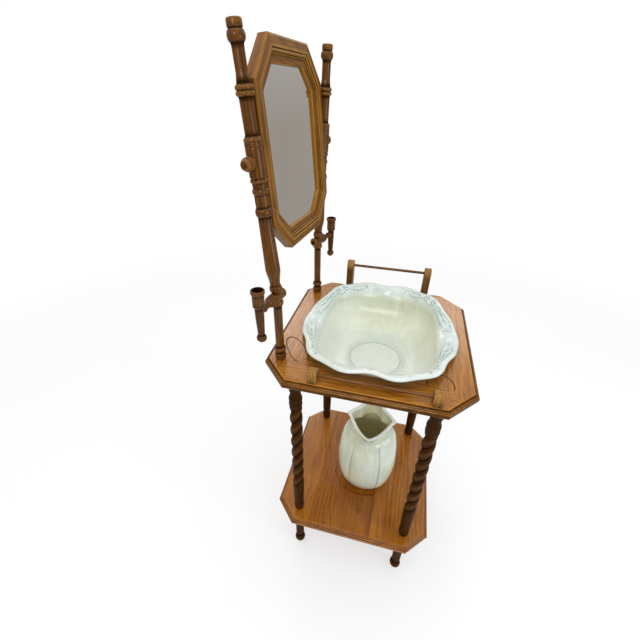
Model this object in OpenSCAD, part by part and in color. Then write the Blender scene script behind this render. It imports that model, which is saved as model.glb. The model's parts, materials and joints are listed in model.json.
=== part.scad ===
// Washstand: an eight-sided board on barley-twist legs, with a tilting mirror, basin and pitcher.
// Millimetres. The floor is z = 0, the user stands at -Y, and the mirror is at +Y.

/* [Stand] */
// Height of the top board's upper face above the floor
board_up = 665; // [620:1:760]
// Height of the lower shelf's upper face above the floor
shelf_up = 173; // [150:1:200]
// Distance of the leg axes inside the side edges of the top board
leg_in_x = 48.9; // [44:0.1:58]
// Distance of the leg axes inside the front and back edges of the top board
leg_in_y = 63; // [55:0.5:70]

/* [Top board] */
// Width of the top board, side to side
board_w = 417; // [410:1:450]
// Depth of the top board, front to back
board_d = 400; // [392:1:430]
// Thickness of the top board
board_t = 19; // [17:0.5:24]
// Length that a cut corner takes off the front and back edges
board_clip_x = 56; // [40:1:64]
// Length that a cut corner takes off the side edges
board_clip_y = 53; // [40:1:58]
// Width of the moulding that runs round the top board
board_mould = 8; // [6:0.5:9]

/* [Lower shelf] */
// Width of the shelf, side to side
shelf_w = 402; // [380:1:430]
// Depth of the shelf, front to back
shelf_d = 395.4; // [370:0.2:420]
// Thickness of the shelf
shelf_t = 19; // [17:0.5:24]
// Length that a cut corner takes off each edge of the shelf
shelf_clip = 51.5; // [40:0.5:60]
// Width of the reeded moulding that runs round the shelf
shelf_mould = 8.8; // [6:0.2:10]
// Number of reeds in the shelf's edge
shelf_reeds = 3; // [2:1:4]

/* [Legs] */
// Radius of the barley twist at its ridges
twist_r = 13.8; // [12:0.1:15]
// Radius of the barley twist at the bottom of its grooves
twist_groove_r = 9.6; // [8:0.1:11]
// Height in which each ridge goes once round the leg
twist_lead = 77; // [60:1:110]
// Height of the plain turned part at the bottom of a leg
leg_low = 104; // [80:1:130]
// Height of the turned part at the top of a leg
leg_high = 87; // [80:1:110]
// Radius of the tenon on top of a leg
tenon_r = 8; // [6:0.5:9]
// Height of the tenon on top of a leg
tenon_h = 12; // [8:0.5:14]
// Radius of the dowel through leg, shelf and foot
dowel_r = 4; // [3:0.5:5]
// Depth of the dowel in the leg and in the foot
dowel_reach = 20; // [12:1:25]
// Radius of the ball at the bottom of a foot
foot_r = 14; // [12:0.5:16]

/* [Mirror posts] */
// Distance of the post axes inside the back edge of the board
post_in = 29.6; // [28:0.2:35]
// Height of the arm joint above the board
joint_up = 138; // [120:1:150]
// Height of the mirror's pivots above the board
pivot_up = 353.3; // [340:0.1:380]
// Height of a post's top above the board, measured along the post
post_top = 512; // [500:1:560]
// Angle at which the left post leans back above its joint
left_lean = 5.1; // [0:0.1:6]
// Angle at which the right post leans forward above its joint
right_lean = 2.3; // [0:0.1:4]
// Radius of the thick turning that the pivot goes through
post_r = 12.5; // [11:0.1:13]
// Radius of the plain dowel part of a post
post_thin_r = 8; // [7:0.1:9]
// Radius of the pin that joins the two sections of a post
pin_r = 4; // [3:0.1:4.5]

/* [Arms and candle cups] */
// Distance from the post axis to the candle cup axis
arm_len = 59; // [52:0.5:75]
// Radius of the arm's barrel at the post
arm_r = 10.2; // [9:0.1:11]
// Height between the two flats on the barrel
hub_h = 13.8; // [12:0.1:15]
// Angle of the left arm behind straight outward
left_arm_turn = 8.7; // [-40:0.1:40]
// Angle of the right arm in front of straight outward
right_arm_turn = 20; // [-40:0.1:40]
// Radius of the socket for a candle
socket_r = 8.5; // [6:0.1:8.7]
// Depth of the socket for a candle
socket_deep = 18; // [12:0.5:24]
// Radius of the rim of a candle cup
cup_rim_r = 11.6; // [11:0.1:13]
// Radius of a candle cup's body
cup_r = 9.95; // [9.8:0.05:10.6]
// Radius of a candle cup where the arm enters it
cup_neck_r = 7.5; // [7:0.1:8.5]
// Height of the rim of a candle cup above the arm
cup_above = 41; // [36:0.5:50]
// Depth of the drop of a candle cup below the arm
cup_below = 59; // [50:0.5:70]

/* [Mirror] */
// Width of the mirror frame
mirror_w = 257; // [246:0.5:262]
// Height of the mirror frame
mirror_h = 305.2; // [280:0.2:330]
// Thickness of the mirror frame
frame_t = 17; // [16:0.5:20]
// Length that a cut corner takes off the frame's top and bottom
frame_clip_x = 57; // [45:0.5:65]
// Length that a cut corner takes off the frame's sides
frame_clip_y = 54; // [45:0.5:65]
// Width of the frame's rails
rail_w = 33.5; // [30:0.5:38]
// Width of the rebate that holds the glass
rebate_w = 7; // [5:0.5:9]
// Thickness of the glass
glass_t = 3; // [2:0.1:4]
// Thickness of the backing board
backing_t = 2.8; // [2:0.1:3]
// Angle at which the mirror's top leans back
mirror_tilt = 5.1; // [0:0.1:15]
// Distance of the frame's front face in front of the pivots
frame_ahead = 8.7; // [7:0.1:10]
// Radius of the pivot studs
stud_r = 3; // [2.5:0.1:4]
// Depth of a stud in the frame's side
stud_in = 14; // [10:0.5:18]
// Thickness of the washers between frame and post
washer_t = 1.5; // [1:0.1:3]
// Radius of the washers between frame and post
washer_r = 7; // [6:0.1:8]
// Radius of the tightening knobs
knob_r = 9.8; // [8:0.1:12]
// Length of the tightening knobs
knob_len = 23; // [18:0.5:30]

/* [Towel rails] */
// Distance of the rails inside the side edges of the board
rail_in = 21.5; // [20.5:0.5:24]
// Radius of the round top of a bracket
bracket_r = 13; // [10:0.5:13]
// Thickness of a bracket
bracket_t = 16.3; // [12:0.1:20]
// Height of the left bar above the board
left_bar_up = 12; // [11:0.5:70]
// Height of the right bar above the board
right_bar_up = 65; // [40:0.5:80]
// Distance of the left back bracket behind the middle of the board
left_back = 92.7; // [80:0.1:110]
// Distance of the left front bracket in front of the middle of the board
left_front = 125.4; // [100:0.2:128]
// Distance of the right back bracket behind the middle of the board
right_back = 91.6; // [80:0.1:110]
// Distance of the right front bracket in front of the middle of the board
right_front = 100.9; // [90:0.1:128]
// Radius of the towel bars
bar_r = 3.25; // [3:0.05:5]
// Depth of the towel bars in their brackets
bar_in = 10; // [6:0.5:11]

/* [Basin] */
// Half width of the basin's rim, side to side
rim_x = 180; // [172:0.5:181]
// Half depth of the basin's rim, front to back
rim_y = 163; // [152:0.5:165]
// Half width of the bowl where it sits in the board
seat_x = 150; // [140:0.5:154]
// Half depth of the bowl where it sits in the board
seat_y = 127; // [118:0.5:130]
// Distance of the basin in front of the middle of the board
basin_ahead = 6; // [4:0.5:12]
// Mean height of the basin's rim above the board
rim_up = 20.5; // [20:0.5:28]
// Height by which the rim's sides rise above that mean, and its front and back stay below it
rim_saddle = 8; // [0:0.5:8]
// Height by which the rim's corners stand above the middles of its sides
rim_corner = 3.5; // [0:0.5:3.5]
// Depth of the basin's floor below the board's upper face
basin_deep = 77; // [60:1:90]
// Thickness of the basin's wall
basin_wall = 5; // [4:0.2:7]
// Height of the large lobes in the rim's outline
rim_lobe = 4.4; // [0:0.1:5]
// Height of the small lobes in the rim's outline
rim_ripple = 1.9; // [0:0.1:2]
// Radius of the basin's foot ring
basin_foot_r = 58; // [50:0.5:64]

/* [Pitcher] */
// Distance of the pitcher to the left of the middle of the shelf
pitcher_left = 18; // [0:1:40]
// Distance of the pitcher in front of the middle of the shelf
pitcher_ahead = 18; // [0:1:50]
// Height of the pitcher at the hollows of its rim
pitcher_h = 217; // [190:1:240]
// Radius of the pitcher's belly
belly_r = 79; // [70:0.5:85]
// Radius of the pitcher's foot
pitcher_foot_r = 46; // [38:0.5:50]
// Radius of the pitcher's neck between the points of its rim
neck_r = 42; // [36:0.5:46]
// Radius of the pitcher's neck below the points of its rim
neck_wide_r = 54; // [47:0.5:56]
// Thickness of the pitcher's wall
pitcher_wall = 4.5; // [3.5:0.1:6]
// Distance from the pitcher's axis to the points of its rim
rim_point = 57; // [50:0.5:62]
// Height of the side points of the rim above its hollows
point_lift = 20; // [10:1:26]
// Height of the back of the rim above its hollows
back_lift = 30; // [10:1:36]
// Number of raised panels round the pitcher's body
panels = 6; // [6:2:10]
// Reach of the pitcher's handle behind its axis
handle_out = 122; // [115:1:130]
// Height of the lower end of the pitcher's handle
handle_low = 84; // [70:1:100]
// Half width of the pitcher's handle
handle_half_w = 7.5; // [6:0.5:9]
// Half thickness of the pitcher's handle
handle_half_t = 5; // [4:0.5:6]

/* [Clearances] */
// Gap between parts that move on each other
run_gap = 0.3; // [0.2:0.05:0.5]
// Radial clearance of pins and studs in their bores
pin_gap = 0.05; // [0.02:0.01:0.1]
// Radial clearance of glued tenons, dowels and screws
glue_gap = 0.1; // [0.05:0.01:0.2]

/* [Hidden] */

OAK = "#a8692c";
DARK_OAK = "#6b3f1a";
GLAZE = "#e9ebdf";
STEEL = "#8f9296";
$fn = 48;

leg_x = board_w / 2 - leg_in_x;
leg_y = board_d / 2 - leg_in_y;
post_back = board_d / 2 - post_in;
rail_out = board_w / 2 - rail_in;
leg_len = board_up - board_t - shelf_up;
foot_h = shelf_up - shelf_t;
LEG_SPOTS = [[-leg_x, -leg_y], [leg_x, -leg_y], [-leg_x, leg_y], [leg_x, leg_y]];
LEG_PHASES = [2, 20, 49, 70];

// The pivots of the two leaning posts, seen from above
left_pivot_y = post_back + (pivot_up - joint_up) * tan(left_lean);
right_pivot_y = post_back - (pivot_up - joint_up) * tan(right_lean);
pivot_mid_y = (left_pivot_y + right_pivot_y) / 2;
pivot_half = mirror_w / 2 + glue_gap + washer_t + run_gap + post_r;
mirror_yaw = asin((right_pivot_y - left_pivot_y) / 2 / pivot_half);
post_x = pivot_half * cos(mirror_yaw);
seat_half = hub_h / 2 + run_gap;

// Points of a half ellipse that swells from radius r between heights z0 and z1
function bead(z0, z1, r, swell, steps = 8) = [for (i = [0:steps])
    let (a = 180 * i / steps) [r + swell * sin(a), (z0 + z1) / 2 - (z1 - z0) / 2 * cos(a)]];

// Points of a smooth change from radius r0 at height z0 to radius r1 at height z1
function sweep_to(r0, z0, r1, z1, steps = 8) = [for (i = [0:steps])
    let (t = i / steps) [r0 + (r1 - r0) * (1 - cos(180 * t)) / 2, z0 + (z1 - z0) * t]];

// Points of a part of an ellipse round (cx, cz), from angle a0 to angle a1
function arc(cx, cz, rx, rz, a0, a1, steps = 6) = [for (i = [0:steps])
    let (a = a0 + (a1 - a0) * i / steps) [cx + rx * cos(a), cz + rz * sin(a)]];

// The same points without repeated neighbours
function tidy(p) = [for (i = [0:len(p) - 1]) if (i == 0 || norm(p[i] - p[max(i - 1, 0)]) > 0.02) p[i]];

// A turned piece from its outline, given as points of radius and height
module turned(outline) {
    rotate_extrude() polygon(tidy(outline));
}

// Corners of an eight-sided outline, anticlockwise from the lower end of its right side
function octagon(hx, hy, cx, cy) = [
    [hx, cy - hy], [hx, hy - cy], [hx - cx, hy], [cx - hx, hy],
    [-hx, hy - cy], [-hx, cy - hy], [cx - hx, -hy], [hx - cx, -hy]];

// The same outline moved in by d on every side
function inset(hx, hy, cx, cy, d) = let (slope = norm([cx, cy])) octagon(hx - d, hy - d,
    cx - d + d * (slope - cx) / cy, cy - d + d * (slope - cy) / cx);

// Length of the bars that plates and frame sticks are cut from, more than any of them measures
bar_span = 1000;

// A long bar along side i of an outline; its profile gives distances outward from the side and heights
module side_bar(outline, i, profile) {
    p = outline[i];
    q = outline[(i + 1) % 8];
    mid = (p + q) / 2;
    translate([mid[0], mid[1], 0])
        rotate([0, 0, atan2(q[1] - p[1], q[0] - p[0]) - 90])
            rotate([90, 0, 0])
                linear_extrude(height = bar_span, center = true) polygon(profile);
}

// An eight-sided plate whose edge has the same moulding on every side
module moulded_plate(outline, profile) {
    intersection_for (i = [0:7]) side_bar(outline, i, profile);
}

// Profile of the top board: flat, small step, thumb moulding, rounded under
board_step = 2.2;
board_quirk = 1;
board_nose = 8.5;
nose_band = 1.5;
board_under = 6;
function board_profile() = concat(
    [[-bar_span, -board_t], [-bar_span, 0], [-board_mould, 0], [-board_mould, -board_step]],
    arc(board_quirk - board_mould, -board_nose, board_mould - board_quirk, board_nose - board_step, 90, 0),
    arc(-board_under, -board_nose - nose_band, board_under, board_t - board_nose - 2 * nose_band, 0, -90),
    [[-board_under, -board_t]]);

// Profile of the shelf: flat, small step, reeds on a slope, rounded under
shelf_step = 1.6;
shelf_nose = 12;
shelf_under = 5;
reed_out = 1.1;
function shelf_profile() = let (
        start = [-shelf_mould, -shelf_step],
        run = [0, -shelf_nose] - start,
        out = [-run[1], run[0]] / norm(run))
    concat(
        [[-bar_span, -shelf_t], [-bar_span, 0], [-shelf_mould, 0]],
        [for (i = [0:6 * shelf_reeds]) start + run * i / (6 * shelf_reeds)
            + out * reed_out * abs(sin(180 * i / 6))],
        arc(-shelf_under, -shelf_nose - nose_band, shelf_under, shelf_t - shelf_nose - nose_band, 0, -90));

// Radius of a rounded rectangle of half sizes hx and hy in direction a
function squircle(a, hx, hy, n) = 1 / pow(pow(abs(cos(a)) / hx, n) + pow(abs(sin(a)) / hy, n), 1 / n);

// Squareness of the bowl at the board, and the number of points round it
bowl_square = 3.6;
bowl_sides = 80;
module basin_hole() {
    translate([0, -basin_ahead, board_up - board_t - 1])
        linear_extrude(height = board_t + 2)
            polygon([for (i = [0:bowl_sides - 1]) let (a = 360 * i / bowl_sides)
                squircle(a, seat_x + run_gap, seat_y + run_gap, bowl_square) * [cos(a), sin(a)]]);
}

// A countersunk screw that points up, with its head at z = 0, or the hole for it
module screw(r, len, gap = 0) {
    head = 1.9 * r;
    turned([[0, -gap], [head + gap, -gap], [head + gap, 0.4], [r + gap, 0.4 + head - r],
        [r + gap, len + gap], [0, len + gap]]);
}

bracket_screw_r = 2;
bracket_screw_in = 9;
bracket_screw_apart = 14;
post_screw_r = 2.5;
post_screw_in = 26;
BRACKET_SPOTS = [[-rail_out, -left_front], [-rail_out, left_back],
    [rail_out, -right_front], [rail_out, right_back]];

module each_bracket_screw() {
    for (spot = BRACKET_SPOTS)
        for (side = [-1, 1])
            translate([spot[0] + side * bracket_screw_apart / 2, spot[1], board_up - board_t])
                children();
}

module each_post_screw() {
    for (side = [-1, 1])
        translate([side * post_x, post_back, board_up - board_t]) children();
}

module top_board() {
    color(OAK) difference() {
        translate([0, 0, board_up])
            moulded_plate(octagon(board_w / 2, board_d / 2, board_clip_x, board_clip_y), board_profile());
        basin_hole();
        for (spot = LEG_SPOTS)
            translate([spot[0], spot[1], board_up - board_t - 1])
                cylinder(r = tenon_r + glue_gap, h = tenon_h + glue_gap + 1);
        each_bracket_screw() screw(bracket_screw_r, board_t + bracket_screw_in, glue_gap);
        each_post_screw() screw(post_screw_r, board_t + post_screw_in, glue_gap);
    }
}

module lower_shelf() {
    color(OAK) difference() {
        translate([0, 0, shelf_up])
            moulded_plate(octagon(shelf_w / 2, shelf_d / 2, shelf_clip, shelf_clip), shelf_profile());
        for (spot = LEG_SPOTS)
            translate([spot[0], spot[1], shelf_up - shelf_t - 1])
                cylinder(r = dowel_r + glue_gap, h = shelf_t + 2);
    }
}

// Two-lobed section of the barley twist
rope_sides = 16;
function rope() = [for (i = [0:rope_sides - 1]) let (a = 360 * i / rope_sides)
    (twist_groove_r + (twist_r - twist_groove_r) * pow(abs(cos(a)), 0.75)) * [cos(a), sin(a)]];

leg_end_r = 13;
module leg(i) {
    top = leg_len - leg_high;
    twist_h = top - leg_low;
    color(DARK_OAK) translate([LEG_SPOTS[i][0], LEG_SPOTS[i][1], shelf_up]) difference() {
        union() {
            turned(concat([[0, 0], [10, 0]], bead(1.5, 27, 10, 2.3),
                [[10.3, 30], [10.3, 33], [leg_end_r - 1, 37], [leg_end_r + 0.6, leg_low], [0, leg_low]]));
            translate([0, 0, leg_low - 1]) rotate([0, 0, LEG_PHASES[i]])
                linear_extrude(height = twist_h + 2, twist = -360 * (twist_h + 2) / twist_lead,
                    slices = round(twist_h * 14 / twist_lead), segments = rope_sides) polygon(rope());
            translate([0, 0, top]) turned(concat([[0, 0]], bead(0, 13, leg_end_r - 0.4, 1.5),
                bead(13, 26, leg_end_r - 0.4, 1.5), sweep_to(leg_end_r - 1, 27, leg_end_r - 2.2, 39, 4),
                [[leg_end_r - 2.2, 41], [leg_end_r, 44], [leg_end_r, leg_high], [tenon_r, leg_high],
                [tenon_r, leg_high + tenon_h], [0, leg_high + tenon_h]]));
        }
        translate([0, 0, -1]) cylinder(r = dowel_r + glue_gap, h = dowel_reach + glue_gap + 1);
    }
}

foot_pad_r = 6;
foot_neck_r = 12;
module foot(i) {
    color(DARK_OAK) translate([LEG_SPOTS[i][0], LEG_SPOTS[i][1], 0]) difference() {
        turned(concat([[0, 0], [foot_pad_r, 0]], arc(0, foot_r, foot_r, foot_r - 0.6, -60, 60, 10),
            sweep_to(foot_neck_r - 0.9, foot_r + 26, foot_neck_r, foot_h - 30),
            [[foot_neck_r, foot_h], [0, foot_h]]));
        translate([0, 0, foot_h - dowel_reach - glue_gap])
            cylinder(r = dowel_r + glue_gap, h = dowel_reach + glue_gap + 1);
    }
}

module leg_dowels() {
    color(OAK) for (spot = LEG_SPOTS)
        translate([spot[0], spot[1], foot_h - dowel_reach])
            cylinder(r = dowel_r, h = shelf_t + 2 * dowel_reach);
}

// Heights of a post's turnings, measured from the arm joint along the post
block_low = pivot_up - joint_up - 20;
block_high = pivot_up - joint_up + 27;
cap_up = post_top - joint_up;
pin_down = 16;
pin_high = 24;

// Heights of the turnings at the foot of a post: the bead on the board and the collar above it
base_bead = 14;
collar_low = 18;
collar_high = 28;
module post_base(side) {
    seat = joint_up - seat_half;
    color(DARK_OAK) translate([side * post_x, post_back, board_up]) difference() {
        turned(concat([[0, 0], [9, 0]], bead(0.5, base_bead, 8.7, 2.3),
            [[8.5, base_bead + 1], [8.5, collar_low - 0.5]], bead(collar_low, collar_high, 8.3, 3),
            [[post_thin_r, collar_high + 3], [post_thin_r, seat - 12]],
            bead(seat - 10.5, seat, 8.8, 2.2), [[0, seat]]));
        translate([0, 0, -board_t]) screw(post_screw_r, board_t + post_screw_in, glue_gap);
        translate([0, 0, seat - pin_down]) cylinder(r = pin_r + pin_gap, h = pin_down + 1);
    }
}

module post_pin(side) {
    color(OAK) translate([side * post_x, post_back, board_up + joint_up - seat_half - pin_down + 0.5])
        cylinder(r = pin_r, h = pin_down + 2 * seat_half + pin_high - 1);
}

module post_screws() {
    color(STEEL) each_post_screw() screw(post_screw_r, board_t + post_screw_in);
}

// Outline of the leaning upper section: bulb, vase, beads, pivot block, shaft, beads and cap
function post_outline() = concat(
    [[0, 2], [9, 2]], bead(9.5, 21, 9, 2), [[8.8, 22.5], [9, 26.5]],
    sweep_to(9, 26.5, post_r, 52), [[10.5, block_low - 62]],
    bead(block_low - 56, block_low - 43, 10.4, 2.6), [[10.8, block_low - 38], [10.8, block_low - 28]],
    bead(block_low - 23, block_low - 15, 10.6, 1.7), sweep_to(10.6, block_low - 13, 10.8, block_low - 8, 2),
    bead(block_low - 7, block_low - 1, 10.8, 2), [[post_r, block_low + 1]],
    [[post_r, block_high - 8], [post_r - 0.8, block_high - 7], [post_r, block_high - 6], [post_r, block_high]],
    bead(block_high, block_high + 4, post_r - 1, 1.3), sweep_to(post_r - 1, block_high + 4, 9.3, block_high + 8, 4),
    [[9.3, cap_up - 82]], bead(cap_up - 79, cap_up - 72.5, 10, 2.5), bead(cap_up - 72.5, cap_up - 66, 10, 2.5),
    [[9.5, cap_up - 65], [post_thin_r, cap_up - 54], [post_thin_r, cap_up - 26]],
    bead(cap_up - 23, cap_up - 11, 9, 2.5), [[8.7, cap_up - 10], [9.8, cap_up - 9]],
    arc(7.8, cap_up - 2, 2, 2, 0, 90, 4), [[0, cap_up]]);

// Puts the children at the middle of the mirror's pivot line, turned in plan with the pivots
module at_pivot_line() {
    translate([0, pivot_mid_y, board_up + pivot_up]) rotate([0, 0, mirror_yaw]) children();
}

module upper_post(side, lean) {
    color(DARK_OAK) difference() {
        translate([side * post_x, post_back, board_up + joint_up]) rotate([lean, 0, 0])
            turned(post_outline());
        translate([side * post_x, post_back, board_up + joint_up + seat_half - 25])
            cube([50, 50, 50], center = true);
        translate([side * post_x, post_back, board_up + joint_up])
            cylinder(r = pin_r + pin_gap, h = seat_half + pin_high);
        at_pivot_line() translate([side * pivot_half, 0, 0]) rotate([0, 90, 0])
            cylinder(r = stud_r + pin_gap, h = 4 * post_r, center = true);
    }
}

// Puts the children at an arm's joint, with X pointing along the arm
module at_arm(side, turn) {
    translate([side * post_x, post_back, board_up + joint_up])
        rotate([0, 0, side > 0 ? -turn : 180 - turn]) children();
}

// Half length of the flats on the barrel, which the post sections' ends fit between
flat_half = 12;
arm_tenon_r = 3.5;
arm_tenon_in = 10;
module arm(side, turn) {
    color(DARK_OAK) at_arm(side, turn) difference() {
        union() {
            difference() {
                rotate([0, 90, 0]) turned(concat(
                    arc(0, -flat_half - 3.5, arm_r, 5, -90, 0, 8), [[9, -flat_half - 1], [8.2, -flat_half]],
                    [[arm_r, 1 - flat_half], [arm_r, flat_half - 1], [8.2, flat_half]],
                    bead(flat_half + 0.5, flat_half + 7, arm_r - 1.4, 1.7),
                    bead(flat_half + 7.5, flat_half + 14, arm_r - 1.8, 1.7),
                    sweep_to(8, flat_half + 15, 5.6, flat_half + 23, 5),
                    bead(arm_len - 16, arm_len - 11, 5.6, 1.6, 6), [[5.6, arm_len], [0, arm_len]]));
                translate([arm_len, 0, -20]) cylinder(r = cup_neck_r + glue_gap, h = 40);
            }
            translate([arm_len - cup_neck_r - 4, 0, 0]) rotate([0, 90, 0])
                cylinder(r = arm_tenon_r, h = arm_tenon_in + 4);
        }
        for (up = [-1, 1])
            translate([0, 0, up * (hub_h / 2 + 10)]) cube([2 * flat_half, 40, 20], center = true);
        translate([0, 0, -20]) cylinder(r = pin_r + pin_gap, h = 40);
    }
}

module candle_cup(side, turn) {
    ball_r = 8.65;
    color(DARK_OAK) at_arm(side, turn) translate([arm_len, 0, 0]) difference() {
        turned(concat([[0, -cup_below], [2.5, -cup_below]],
            arc(0, ball_r - cup_below, ball_r, ball_r - 0.4, -70, 52, 10),
            [[5.6, 17 - cup_below], [6, 19 - cup_below], [cup_neck_r, -7], [cup_neck_r, 7]],
            sweep_to(cup_neck_r, 7, cup_r, 12.5, 5), [[cup_r, cup_above - 8]],
            sweep_to(cup_r, cup_above - 8, cup_rim_r, cup_above - 6, 3),
            [[cup_rim_r, cup_above - 1.2], [cup_rim_r - 1, cup_above], [0, cup_above]]));
        translate([0, 0, cup_above - socket_deep]) cylinder(r = socket_r, h = socket_deep + 1);
        translate([-cup_neck_r - 1, 0, 0]) rotate([0, 90, 0])
            cylinder(r = arm_tenon_r + glue_gap, h = arm_tenon_in + 1 + glue_gap);
    }
}

// A bracket at a spot on the board; inward is the Y direction of its bar
module bracket(spot, bar_up, inward) {
    color(OAK) translate([spot[0], spot[1], board_up]) difference() {
        rotate([90, 0, 0]) linear_extrude(height = bracket_t, center = true) intersection() {
            union() {
                translate([-bracket_r, 0]) square([2 * bracket_r, bar_up]);
                translate([0, bar_up]) circle(r = bracket_r);
            }
            translate([-bracket_r, 0]) square([2 * bracket_r, bar_up + bracket_r]);
        }
        translate([0, inward * (bracket_t / 2 - bar_in - glue_gap), bar_up])
            rotate([-90 * inward, 0, 0]) cylinder(r = bar_r + glue_gap, h = bar_in + 1);
        for (side = [-1, 1])
            translate([side * bracket_screw_apart / 2, 0, -1])
                cylinder(r = bracket_screw_r + glue_gap, h = bracket_screw_in + glue_gap + 1);
    }
}

module towel_bar(x, front, back, bar_up) {
    start = -front + bracket_t / 2 - bar_in;
    color(DARK_OAK) translate([x, start, board_up + bar_up]) rotate([-90, 0, 0])
        cylinder(r = bar_r, h = back - bracket_t / 2 + bar_in - start);
}

module bracket_screws() {
    color(STEEL) each_bracket_screw() screw(bracket_screw_r, board_t + bracket_screw_in);
}

// Puts the children in the mirror: X across, Y up, Z forward from the frame's back face
module in_mirror() {
    at_pivot_line() rotate([-mirror_tilt, 0, 0])
        translate([0, frame_t - frame_ahead, 0]) rotate([90, 0, 0]) children();
}

// Depth of the rebate, thickness of the lip in front of the glass, and play round the glass
rebate_deep = glass_t + backing_t + 0.2;
sight_lip = 3;
glass_play = 0.5;
function frame_outline(d) = inset(mirror_w / 2, mirror_h / 2, frame_clip_x, frame_clip_y, d);

// Widths of the frame's mouldings, from its outer edge inwards
edge_round = 3;
flat_w = 15.5;
quirk_w = 0.5;
ring_w = 4.4;
fillet_w = 2.1;
cove_w = 5;
ledge_w = 1;
step_h = 1.8;
ring_h = 1.7;
lip_h = 2;

// Profile of the frame: rounded outer edge, flat, step, bead, fillet, cove and lip, with the rebate behind
function frame_profile() = let (
        lip = rebate_deep + sight_lip,
        low = frame_t - 2 * step_h,
        ring_x = flat_w + quirk_w + ring_w / 2,
        cove_x = flat_w + quirk_w + ring_w + fillet_w + cove_w)
    concat(
        [[0, 0]], arc(-edge_round, frame_t - edge_round, edge_round, edge_round, 0, 90, 4),
        [[-flat_w, frame_t], [-flat_w, frame_t - step_h]],
        arc(-ring_x, low + 0.8, ring_w / 2, ring_h, 0, 180, 6),
        [[-ring_x - ring_w / 2, low], [cove_w - cove_x, low]],
        arc(-cove_x, low, cove_w, low - lip - lip_h, 0, -90, 5),
        arc(-cove_x - ledge_w, lip, rail_w - cove_x - ledge_w, lip_h, 90, 180, 5),
        [[-rail_w, rebate_deep], [rebate_w - rail_w, rebate_deep], [rebate_w - rail_w, 0]]);

module frame_stick(i) {
    outer = frame_outline(-5);
    inner = frame_outline(rail_w + 2);
    j = (i + 1) % 8;
    color(OAK) difference() {
        in_mirror() intersection() {
            side_bar(frame_outline(0), i, frame_profile());
            translate([0, 0, -1]) linear_extrude(height = frame_t + 2)
                polygon([outer[i], outer[j], inner[j], inner[i]]);
        }
        if (i == 0 || i == 4)
            at_pivot_line() stud_shape(i == 0 ? 1 : -1, stud_in + glue_gap, 0, stud_r + glue_gap);
        each_clip(i) cylinder(r = clip_screw_r + glue_gap, h = clip_screw_in + glue_gap);
    }
}

// A rod along the pivot line, from a depth inside the frame's side to a distance outside it
module stud_shape(side, inside, outside, r) {
    translate([side * (mirror_w / 2 - inside), 0, 0]) rotate([0, side * 90, 0])
        cylinder(r = r, h = inside + outside + (outside == 0 ? 1 : 0));
}

module mirror_glass() {
    color("silver") in_mirror() translate([0, 0, backing_t + 0.1])
        linear_extrude(height = glass_t) polygon(frame_outline(rail_w - rebate_w + glass_play));
}

module mirror_backing() {
    color("#8b6a45") in_mirror()
        linear_extrude(height = backing_t) polygon(frame_outline(rail_w - rebate_w + glass_play));
}

// Clips on the frame's back, each as the side it is on and its distance along that side
clip_up = 70;
CLIPS = [[0, -clip_up], [0, clip_up], [2, 0], [4, -clip_up], [4, clip_up], [6, 0]];
clip_screw_r = 1.4;
clip_screw_in = 9;
clip_head_r = 2.8;
clip_head_h = 1.6;
clip_t = 1;
clip_w = 9;
clip_in = 19;
clip_reach = 15;

// Puts the children at the screws of the clips on side i, or of all clips where i is not given
module each_clip(i = -1) {
    for (clip = CLIPS)
        if (i < 0 || clip[0] == i) {
            side = clip[0];
            out = side % 4 == 0 ? mirror_w / 2 : mirror_h / 2;
            in_mirror() rotate([0, 0, side * 45]) translate([out - clip_in, clip[1], 0]) children();
        }
}

module backing_clips() {
    color(STEEL) each_clip() translate([0, 0, -clip_t]) difference() {
        union() {
            cylinder(r = clip_w / 2, h = clip_t);
            translate([-clip_reach, 0, 0]) cylinder(r = clip_w / 2, h = clip_t);
            translate([-clip_reach, -clip_w / 2, 0]) cube([clip_reach, clip_w, clip_t]);
        }
        translate([0, 0, -1]) cylinder(r = clip_screw_r + glue_gap, h = clip_t + 2);
    }
}

module clip_screws() {
    color(STEEL) each_clip() turned(concat(
        [[0, -clip_t - clip_head_h]], arc(0, -clip_t - 0.4, clip_head_r, clip_head_h - 0.4, -80, 0, 4),
        [[clip_head_r, -clip_t - 0.02]],
        [[clip_screw_r, -clip_t - 0.02], [clip_screw_r, clip_screw_in], [0, clip_screw_in]]));
}

// Length of a stud inside its knob, and from the frame's side to its end
stud_in_knob = 17;
stud_out = pivot_half - mirror_w / 2 + post_r + run_gap + stud_in_knob;
module stud(side) {
    color(STEEL) at_pivot_line() stud_shape(side, stud_in, stud_out, stud_r);
}

module washer(side) {
    color(STEEL) at_pivot_line() translate([side * (mirror_w / 2 + glue_gap), 0, 0])
        rotate([0, side * 90, 0]) difference() {
            cylinder(r = washer_r, h = washer_t);
            translate([0, 0, -1]) cylinder(r = stud_r + glue_gap, h = washer_t + 2);
        }
}

module knob(side) {
    ring = knob_len / 5;
    color(DARK_OAK) at_pivot_line() translate([side * (pivot_half + post_r + run_gap), 0, 0])
        rotate([0, side * 90, 0]) difference() {
            turned(concat([[0, 0], [knob_r - 3.4, 0], [knob_r - 3.4, ring]],
                bead(ring, 2 * ring, knob_r - 1.6, 1.6), bead(2 * ring, 3 * ring, knob_r - 1.6, 1.6),
                [[knob_r - 1.8, 3 * ring + 0.2]],
                arc(0, 3 * ring + 0.6, knob_r - 1.4, knob_len - 3 * ring - 1.6, 0, 60, 6),
                bead(knob_len - 2.2, knob_len, 1.6, 1.4, 4), [[0, knob_len]]));
            translate([0, 0, -1]) cylinder(r = stud_r + pin_gap, h = stud_in_knob + 2);
        }
}

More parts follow.
